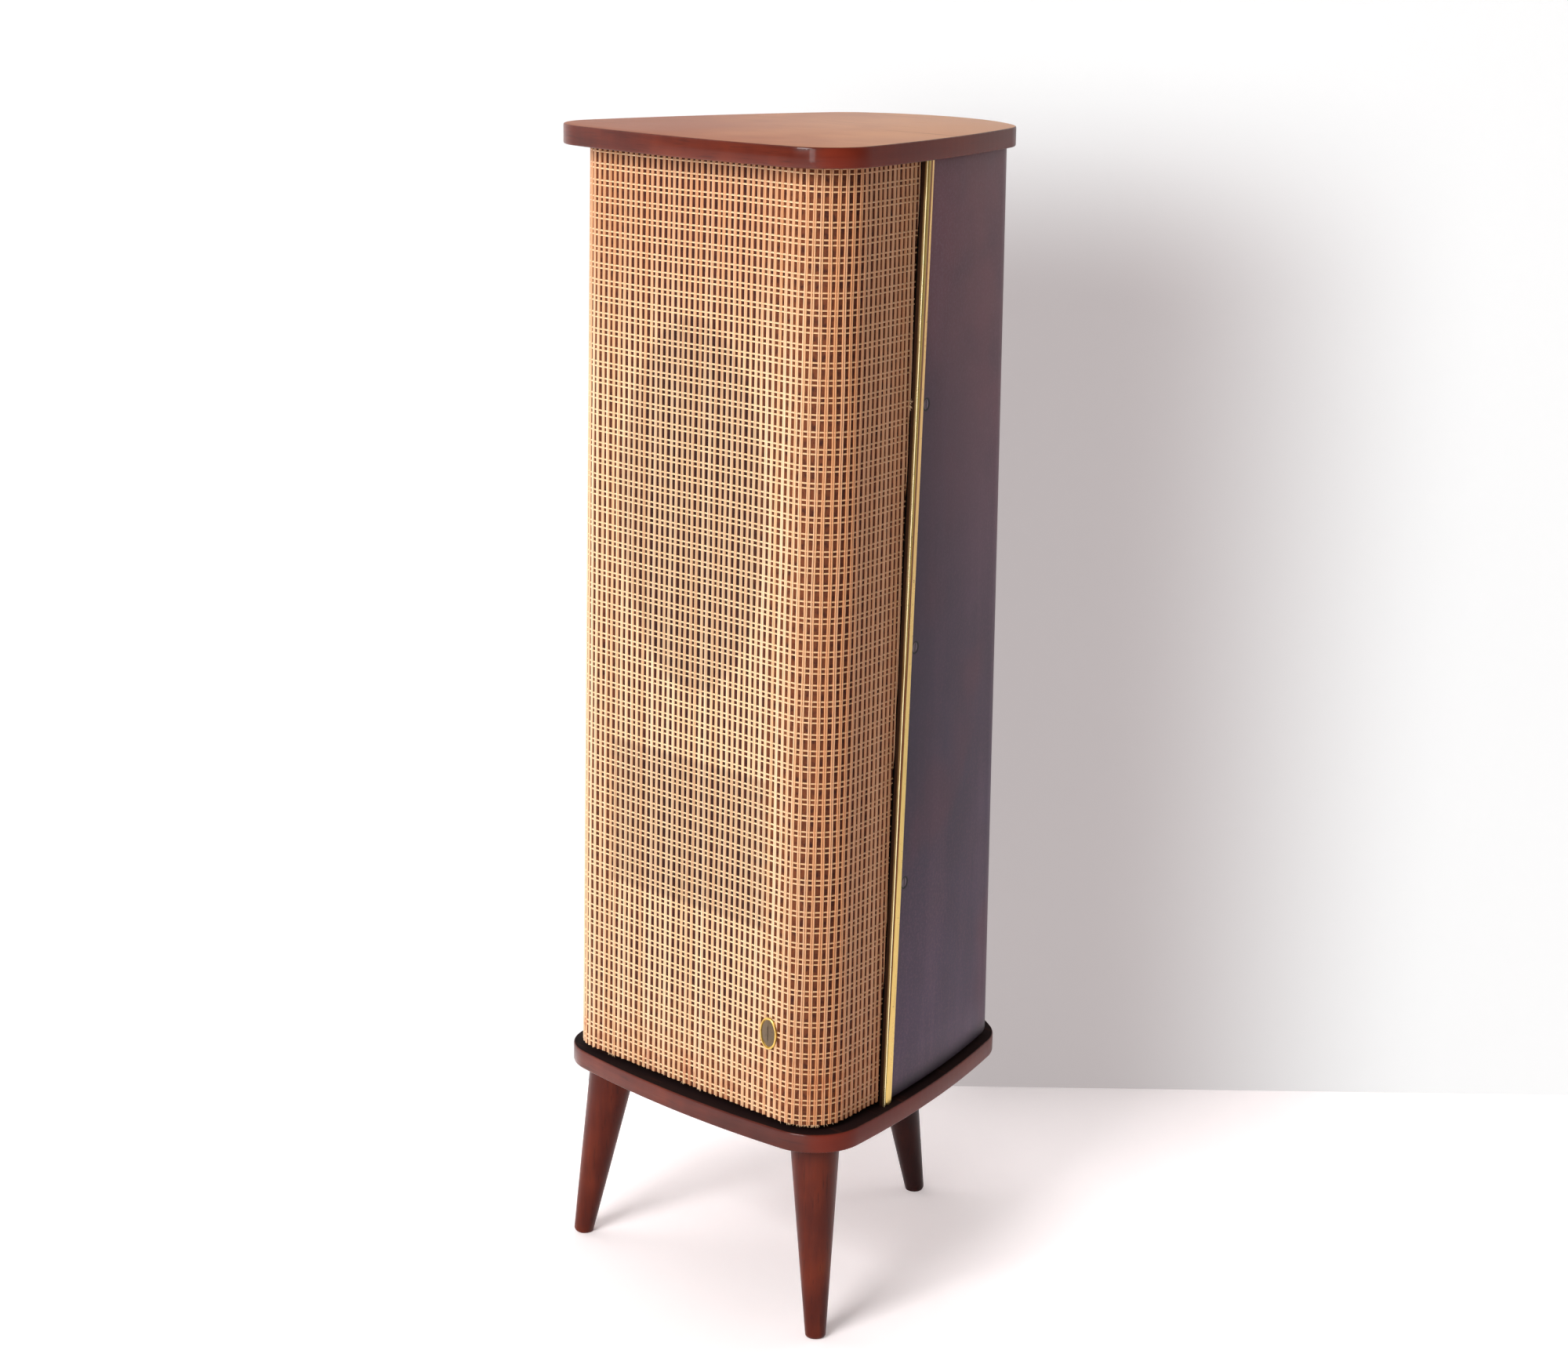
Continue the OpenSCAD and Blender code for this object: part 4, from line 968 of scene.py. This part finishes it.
# aged darkens the straws round the side near the trims, as painted shade, and towards the top,
# partly as painted shade under the top board and partly as stain.
aged = (x.between(0.086, 0.138) * 0.66).most(z.between(0.68, 0.86) * 0.56)
colour = finish.coated(
    finish.ramp(shade * 0.18 + patch * 0.40 + blotch * 0.42,
                (0.18, "#ba8452"), (0.38, "#d6a878"), (0.56, "#ebcba2"), (0.74, "#fff1da")),
    (fibre.between(0.5, 0.25) * 0.35, "#b97a48"),
    (painted_seam_shade * 0.78, "#ac6536"),
    (painted_edge_shade * 0.82, "#80451f"),
    (painted_tie_shade * 0.34, "#b07448"),
    (tie * 0.34, "#fbdcc2"),
    (low * 0.24, "#d07c40"),
    (stain * low * 0.5, "#ac5830"),
    (aged, "#b4672e"),
    # Painted shade over the oval and the vent.
    (behind(finish) * 0.30, "#7a4e30"))
split_straw = finish.surface(
    colour, rough=0.34 + fibre * 0.14, bump=(fibre * 0.5 - painted_tie_shade * 0.8 + tie * 0.3, 0.0003, 0.7),
    others={"Coat Weight": 0.2, "Coat Roughness": 0.25})

finish = Finish("tie_thread")
fuzz = finish.noise(1500.0, 2.0, 0.6)
worn = finish.noise(70.0)
colour = finish.mix(worn, "#f7e0b6", "#e0b482")
# Round the side near the trims the threads are darkened, as painted shade.
colour = finish.mix(finish.axes()[0].between(0.086, 0.138) * 0.46, colour, "#b87238")
tie_thread = finish.surface(
    finish.mix(fuzz.between(0.5, 0.3) * 0.3, colour, "#b98250"), rough=0.4,
    bump=(fuzz, 0.0002, 0.5))


def grained(name, noise, colours, roughness, bump, step=None, share=None, stretch=None,
            metallic=0.0):
    """A finish where one noise makes both the colour and the grain."""
    finish = Finish(name)
    grain = finish.noise(*noise, stretch=stretch)
    amount = grain.between(*step) if step else grain
    return finish.surface(
        finish.mix(amount * share if share else amount, *colours), rough=roughness,
        bump=(grain, *bump), metallic=metallic)


frayed_fibre = grained(
    "frayed_fibre", (1100.0, 3.0, 0.6), ("#e8cba4", "#9c6a40"), 0.6, (0.0002, 0.4))
# The lower edge has come loose in a few places: where, how far along, and how many fibres. So has
# one place beside the right trim, at the height torn_z.
loose_low = [(-82, 3.5, 14), (-1, 2.5, 8), (17, 2.5, 11), (112, 8, 9), (132, 12, 26)]
torn_u_from, torn_u_to, torn_z, torn_fibres = 219.0, 225.0, 0.7100, 22
fibres = []
for middle, spread, count in loose_low:
    for _ in range(count):
        start = (random.gauss(middle, spread / 2) * mm, -0.6 * mm, cloth_from + 0.5 * mm)
        way = (random.uniform(-0.9, 0.9), random.uniform(-0.7, 0.1), -1.0)
        fibres.append((start, way, random.uniform(1.2, 2.6) * mm))
for _ in range(torn_fibres):
    start = (random.uniform(torn_u_from, torn_u_to) * mm, random.uniform(-1.9, -0.7) * mm,
             torn_z + random.uniform(-5.0, 3.6) * mm)
    way = (random.uniform(0.3, 1.0), random.uniform(-0.9, -0.2), random.uniform(-1.1, 0.5))
    fibres.append((start, way, random.uniform(2.6, 5.0) * mm))
tufts = []
for start, way, length in fibres:
    way = Vector(way).normalized()
    tufts.append(fresh(
        bpy.ops.mesh.primitive_cone_add, "fibre", vertices=5,
        radius1=random.uniform(0.16, 0.30) * mm * (1 + length / (4 * mm)), radius2=0.06 * mm,
        depth=length, location=Vector(start) + way * length * 0.4,
        rotation=way.to_track_quat("Z", "Y").to_euler()))


def joined(name, parts):
    pick(parts[0])
    for part in parts:
        part.select_set(True)
    bpy.ops.object.join()
    parts[0].name = name
    return parts[0]


frayed = joined("frayed_ends", tufts)
bpy.ops.object.transform_apply(location=True, rotation=True, scale=True)
wrapped(frayed)
smooth(frayed, 60)
done(ground, ground_weave, stands_for=["grille_cloth"])
done(frayed, frayed_fibre)
done(straw, split_straw)
done(thread, tie_thread)
cloth_h = cloth_to - cloth_from
ground_area / cloth_h

# The badge is a plain oval of brass, pressed with a raised rim and a low crown, pinned on the
# cloth low on the right of the front.
lean = math.atan((front_y_top - front_y_bottom) / body_h)
badge_at = Vector((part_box("badge")[0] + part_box("badge")[1])) / 2
badge_w, badge_h, badge_t = 17 * mm, 25 * mm, 1.6 * mm
badge = fresh(
    bpy.ops.mesh.primitive_circle_add, "plain_badge", vertices=96, fill_type="NGON", radius=1)
opened(badge, "FACE")
bpy.ops.transform.resize(value=(badge_w / 2, badge_h / 2, 1))
bpy.ops.mesh.extrude_region_move(TRANSFORM_OT_translate={"value": (0, 0, badge_t * 0.8)})
bpy.ops.mesh.inset(thickness=0.35 * mm, depth=badge_t * 0.2)
bpy.ops.mesh.inset(thickness=0.75 * mm, depth=0)
bpy.ops.mesh.inset(thickness=0.3 * mm, depth=-badge_t * 0.5)
for low, up in ((1.1, 0.26), (1.4, 0.22), (1.6, 0.12), (1.4, 0.05)):
    bpy.ops.mesh.inset(thickness=low * mm, depth=up * mm)
faced_out()
badge.matrix_world = (
    Matrix.Translation(badge_at) @ Matrix.Rotation(math.pi / 2 - lean, 4, "X")
    @ Matrix.Translation((0, 0, -badge_t / 2))
)
smooth(badge, 30)
finish = Finish("badge_brass")
x, y, z = finish.axes()
away = ((x - badge_at.x) / (badge_w / 2)) ** 2 + ((z - badge_at.z) / (badge_h / 2)) ** 2
field = away.between(0.74, 0.70)
brushed = finish.noise(1400.0, 2.0, 0.5, stretch=(0.06, 1.0, 1.0))
dirt = finish.noise(500.0)
colour = finish.mix(dirt.between(0.5, 0.75) * 0.5, "#d9b765", "#4a3018")
colour = finish.mix(field * 0.9, colour, "#2c1512")
badge_brass = finish.surface(
    colour, rough=0.24 + brushed * 0.16, bump=(brushed, 0.00008, 0.3),
    metallic=(1.0 - dirt.between(0.6, 0.8) * 0.4) * (1.0 - field))
done(badge, badge_brass, stands_for=["badge"])

# The legs are turned from solid wood and bolted on under the base plate. The shadow spacer is a
# black board that keeps the body off the base plate.
leg_grain = (1.0, 1.0, 0.06)
leg_wood = mahogany("lacquered_leg", leg_grain, (0.3, 0.2, 0.0), figure=0.32)
put(leg_wood, "leg_front_left", "leg_front_right")
# The rear leg is given painted shade, darker than the front legs, as it stands in shadow.
put(mahogany("lacquered_rear_leg_painted_shade", leg_grain, (0.8, 0.1, 0.0), figure=0.32, dark=0.72), "leg_rear")
put(grained("black_paint", (240.0, 4.0, 0.6), ("#0f0c0c", "#2b2423"), 0.75, (0.0002, 0.3),
            step=(0.5, 0.8), share=0.4), "shadow_spacer")

# The boards inside are birch ply, with the layers showing on their edges. The posts and the
# cleats beside the trims are softwood, coloured black as painted shade where the gap would show
# them.
finish = Finish("birch_ply")
height = finish.axes()[2]
flat_face = abs(finish.facing()[2]).between(0.5, 0.8)
along = finish.stretched((0.08, 1.0, 0.7))
figure, pores = finish.noise(70.0, 5.0, 0.62, at=along), finish.noise(700.0, 2.0, 0.5, at=along)
layers = height.waves(2.4 * mm).between(-0.2, 0.4) * (1.0 - flat_face)
colour = finish.mix(figure.between(0.35, 0.65), "#d3b07c", "#b98d58")
colour = finish.mix(pores.between(0.42, 0.30) * 0.5, colour, "#8a6338")
birch_ply = finish.surface(
    finish.mix(layers * 0.35, colour, "#8c6238"), rough=0.7,
    bump=(figure * 0.5 + pores * 0.5, 0.0003, 0.4))
put(birch_ply, "bottom_board", "top_board", "baffle_board", "socket_block")
gap_shade_softwood = grained("black_softwood_painted_shade", (120.0, 5.0, 0.6), ("#0c0807", "#231712"), 0.8,
                     (0.0003, 0.5), step=(0.35, 0.7), stretch=(1.0, 1.0, 0.05))
put(gap_shade_softwood, "corner_post_left", "corner_post_right", "side_cleat_left", "side_cleat_right")

# The screws, bolts and threaded inserts are zinc-plated steel, and so are the driver's washer and
# yoke. The plug sockets, further down, are nickel-plated in the same way.


def plated(name, bright, dull, roughness):
    """Plated metal with a fine grain and dull, darker spots."""
    finish = Finish(name)
    fine = finish.noise(1100.0)
    dulled = finish.noise(180.0, 4.0, 0.65).between(0.45, 0.70)
    return finish.surface(
        finish.mix(dulled, bright, dull), rough=roughness + dulled * 0.2 + fine * 0.08,
        bump=(fine, 0.00008, 0.3), metallic=1.0 - dulled * 0.25)


zinc = plated("zinc_plate", "#c4c4be", "#8f8c80", 0.28)
put(zinc, "leg_bolts", "leg_inserts", "base_screws", "top_screws", "driver_screws", "pole_washer",
    "yoke", "socket_screws")

# The driver's basket is pressed steel under hammered grey enamel. A board gasket seals it to the
# baffle, and its solder tab is brown laminate. The magnet is a sintered ferrite ring.
finish = Finish("hammered_enamel")
dents = finish.add("ShaderNodeTexVoronoi", {}, {"Vector": finish.here, "Scale": 420.0})["Distance"]
dust = finish.noise(90.0, 4.0, 0.6)
hammered = finish.surface(
    finish.mix(dust.between(0.45, 0.75) * 0.5, "#5b5f61", "#8a857b"), rough=0.36 + dust * 0.25,
    bump=(dents, 0.0004, 0.5), metallic=0.35)
put(hammered, "driver_basket")


def pressed(name, light, dark, scale, roughness, depth=0.0003):
    """Pressed or sintered stuff: a cloudy ground with fibres or grains of a second colour."""
    finish = Finish(name)
    cloud = finish.noise(scale * 0.2)
    grains = finish.noise(scale, 4.0, 0.7)
    colour = finish.mix(grains.between(0.40, 0.62), light, dark)
    return finish.surface(
        finish.mix(cloud.between(0.4, 0.7) * 0.3, colour, dark), rough=roughness + grains * 0.12,
        bump=(grains, depth, 0.5))


put(pressed("gasket_board", "#8f7c5c", "#6d5a3f", 700.0, 0.8), "driver_gasket")
put(pressed("brown_laminate", "#744c2b", "#5a3820", 300.0, 0.35, 0.0001), "driver_terminals")
put(pressed("ferrite", "#3f3f42", "#2c2c2f", 500.0, 0.6), "magnet")
put(pressed("black_laminate", "#1f1b18", "#14110f", 260.0, 0.3, 0.0001), "socket_plate")
put(pressed("black_fibre", "#332e2a", "#201c19", 600.0, 0.7), "lead_clips")
put(plated("nickel_plate", "#cfcabb", "#97907d", 0.22), "plug_sockets")

# The cone is moulded paper with a felt cap, on a paper tube that carries the copper winding.
finish = Finish("cone_paper")
x, y, z = finish.axes()
pulp = finish.noise(520.0, 5.0, 0.75)
fibres = finish.noise(1500.0, 3.0, 0.7, stretch=(1.0, 1.0, 0.3))
driver_at = (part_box("cone")[0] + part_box("cone")[1]) / 2
rings = (((x / 0.62) ** 2 + (z - driver_at[2]) ** 2) ** 0.5).waves(9.0 * mm)
colour = finish.mix(pulp.between(0.38, 0.65), "#2c2620", "#4a4036")
cone_paper = finish.surface(
    finish.mix(fibres.between(0.58, 0.70) * 0.35, colour, "#7a6a56"), rough=0.85,
    bump=(pulp * 0.5 + rings * 0.12, 0.0005, 0.5))
put(cone_paper, "cone")
put(pressed("cap_felt", "#655a4d", "#4b4137", 800.0, 0.9), "dust_cap")
finish = Finish("wound_coil")
x, y, z = finish.axes()
coil_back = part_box("voice_coil")[1][1]
turns = (y * math.cos(0.01) - z * math.sin(0.01)).waves(0.45 * mm)
wound = y.between(coil_back - 15 * mm, coil_back - 14 * mm)
copper = finish.mix(turns.between(-0.7, 0.2), "#6b3418", "#c37a3f")
coil_finish = finish.surface(
    finish.mix(wound, "#a98a5e", copper), rough=0.35, bump=(turns * wound, 0.0002, 0.6),
    metallic=wound * 0.8)
put(coil_finish, "voice_coil")

# The surround is doped paper, pressed in two ripples and glued between the rim and the cone. The
# spider is a corrugated cloth disc that centres the coil. Both give way as the cone moves.
baffle_t, skin = 12 * mm, cloth_t + 0.1 * mm


def on_board(x, up, out):
    """A place on the leaning baffle: to the right, up the board, and out of its front face."""
    y = front_y_bottom + skin + up * math.sin(lean) - out * math.cos(lean) - plan_mid_y
    return Vector((x, y, body_bottom + up * math.cos(lean) + out * math.sin(lean)))


def on_driver(x, y, z):
    """A place in the driver: out from the baffle's rear face along the cone's travel."""
    return on_board(x, driver_up + y, z - baffle_t)


def disc(name, profile, ring, steps, thick):
    """A thin ring-shaped skin through a profile of (reach, height) in millimetres."""
    piece = lofted(name, [
        [on_driver(*ring(reach * mm, 2 * math.pi * i / steps), up * mm) for i in range(steps)]
        for reach, up in profile], closed_round=True)
    if piece.data.polygons[0].normal.y > 0:
        piece.data.flip_normals()
    applied(piece, "SOLIDIFY", thickness=thick, offset=-1)
    smooth(piece, 60)
    return piece


def oval_ring(grow, a):
    return (oval_w / 2 + grow) * math.cos(a), (oval_h / 2 + grow) * math.sin(a)


def round_ring(r, a):
    return r * math.cos(a), r * math.sin(a)


def gives_way(piece, material, slot, still, moving, *stands_for):
    """Gives a piece its finish, hides the CAD parts it stands for and bakes its place into its
    mesh. Both heights are along the cone's travel.
    """
    piece.data.materials.clear()
    piece.data.materials.append(material)
    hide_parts(*stands_for)
    on_driver(0, 0, still * mm)
    on_driver(0, 0, moving * mm)
    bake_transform(piece)


surround_profile = [
    (6.8, -3.04), (0.9, -3.04), (0.3, -2.8), (-0.2, -1.9), (-0.6, -1.62), (-1.0, -1.9),
    (-1.5, -2.7), (-1.8, -2.85), (-2.1, -2.7), (-2.6, -1.9), (-3.0, -1.62), (-3.4, -1.9),
    (-3.9, -3.0), (-4.6, -3.46), (-9.3, -3.46)]
surround = disc("rippled_surround", surround_profile, oval_ring, 96, 0.3 * mm)
finish = Finish("doped_paper")
pulp = finish.noise(480.0, 4.0, 0.7)
wet = finish.noise(120.0)
doped = finish.surface(
    finish.mix(pulp.between(0.38, 0.65), "#332b22", "#51473a"), rough=0.45 + wet * 0.3,
    bump=(pulp, 0.0003, 0.4))
gives_way(surround, doped, "cone_paper", -3.05, -3.44, "cone_surround")

spider_profile = [(35.8, -45.7), (33.6, -45.66)]
for i in range(25):
    spider_profile.append((32.9 - i * 0.78, -44.72 + 0.52 * math.cos(math.pi * (1 + i / 2))))
spider_profile.append((13.6, -45.0))
spider = disc("corrugated_spider", spider_profile, round_ring, 72, 0.25 * mm)
finish = Finish("spider_cloth")
x, y, z = finish.axes()
weave = x.waves(0.8 * mm) * 0.5 + z.waves(0.8 * mm) * 0.5
worn = finish.noise(200.0)
spider_cloth = finish.surface(
    finish.mix(weave.between(-0.4, 0.5), "#7c5a2c", "#b08b50"), rough=0.7 + worn * 0.2,
    bump=(weave, 0.0002, 0.5))
gives_way(spider, spider_cloth, "spider_cloth", -45.64, -45.3, "spider")

# Two braided tinsel leads rise from the solder tab to the back of the cone. Two insulated wires run
# from the tab down the baffle, beside the vent, and back along the floor to the sockets.


def rounded(path, d, steps=8):
    """The path with each corner rounded by an arc that starts d before it."""
    way = [path[0]]
    for before, corner, after in zip(path, path[1:], path[2:]):
        a = corner.lerp(before, min(d / (before - corner).length, 0.45))
        b = corner.lerp(after, min(d / (after - corner).length, 0.45))
        way += [a.lerp(corner, t / steps).lerp(corner.lerp(b, t / steps), t / steps)
                for t in range(steps + 1)]
    return way + [path[-1]]


def spaced(path, gap):
    """The same path in short steps, for a twist or a fine tube."""
    way = []
    for a, b in zip(path, path[1:]):
        count = max(1, round((b - a).length / gap))
        way += [a.lerp(b, i / count) for i in range(count)]
    return way + [path[-1]]


def tube(name, path, r, sides, twist=0.0, off=0.0, phase=0.0):
    """A round tube along a path, or off to its side in a twist of so many turns a metre."""
    rings, gone = [], 0.0
    for i, p in enumerate(path):
        ahead = (path[min(i + 1, len(path) - 1)] - path[max(i - 1, 0)]).normalized()
        gone += (p - path[max(i - 1, 0)]).length
        side = ahead.cross(Vector((1, 0, 0))).normalized()
        upright = ahead.cross(side)
        turn = phase + gone * twist * 2 * math.pi
        middle = p + off * (math.cos(turn) * side + math.sin(turn) * upright)
        rings.append([middle + r * (math.cos(a) * side + math.sin(a) * upright)
                      for a in (2 * math.pi * k / sides for k in range(sides))])
    return lofted(name, rings, closed_round=True, capped=True)


strands = []
for x in (-7 * mm, 7 * mm):
    path = [on_driver(x, -49.5 * mm, -50.8 * mm), on_driver(x, -49.5 * mm, -40.3 * mm),
            on_driver(x, -35.5 * mm, -33.9 * mm)]
    path = spaced(rounded(path, 5 * mm), 0.5 * mm)
    for i in range(3):
        strands.append(tube("strand", path, 0.30 * mm, 6, 260.0, 0.29 * mm, 2 * math.pi * i / 3))
tinsel = joined("braided_tinsel", strands)
smooth(tinsel, 60)
copper_tinsel = grained("copper_tinsel", (1600.0, 3.0, 0.6), ("#cf8a55", "#7d4526"), 0.35,
                        (0.0001, 0.5), step=(0.42, 0.62), metallic=0.85)
gives_way(tinsel, copper_tinsel, "copper_braid", -50.0, -34.6, "tinsel_leads")

baffle_half_w = 1.0
for z in (body_bottom, body_top):
    y = front_y(z) + cloth_corner_r - side_c.imag - shift(z)
    inner = side_r - cloth_inset - cloth_corner_r
    baffle_half_w = min(baffle_half_w, side_c.real + math.sqrt(inner ** 2 - y ** 2) - 2 * mm)
wire_x = -(85 * mm + baffle_half_w) / 2
block_t = 16 * mm
block_y = plate_depth + rear_bow - shell_inset - shell_t + shift(socket_z) - block_t - plan_mid_y
wire_r, wire_out, wire_tab = 1.1 * mm, -13.2 * mm, -67.1 * mm
wire_floor, wire_top = body_bottom + 13.2 * mm, socket_z + 1.7 * mm
wires = []
for side in (-1, 1):
    apart = side * 1.4 * mm
    route = [
        on_board(side * 7 * mm, 401 * mm, wire_tab), on_board(side * 7 * mm, 385 * mm, wire_tab),
        on_board(wire_x + apart, 274.5 * mm, wire_out),
        Vector((wire_x + apart, on_board(0, 0, wire_out).y + 0.1 * mm, wire_floor)),
        Vector((-20 * mm + apart, block_y - 62 * mm, wire_floor)),
        Vector((apart, block_y - 42 * mm, wire_top)),
        Vector((side * 9.5 * mm, block_y - 20 * mm, wire_top)),
    ]
    wires.append(tube("wire", spaced(rounded(route, 14 * mm), 4 * mm), wire_r, 12))
lead = joined("insulated_lead", wires)
smooth(lead, 60)
finish = Finish("lead_insulation")
cotton = finish.noise(900.0)
aged = finish.noise(60.0)
colour = finish.mix(cotton.between(0.4, 0.65), "#6a3829", "#47241b")
lead_insulation = finish.surface(
    finish.mix(aged.between(0.45, 0.75) * 0.4, colour, "#80604c"), rough=0.6,
    bump=(cotton, 0.0002, 0.4))
done(lead, lead_insulation, stands_for=["speaker_lead"])

low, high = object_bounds()
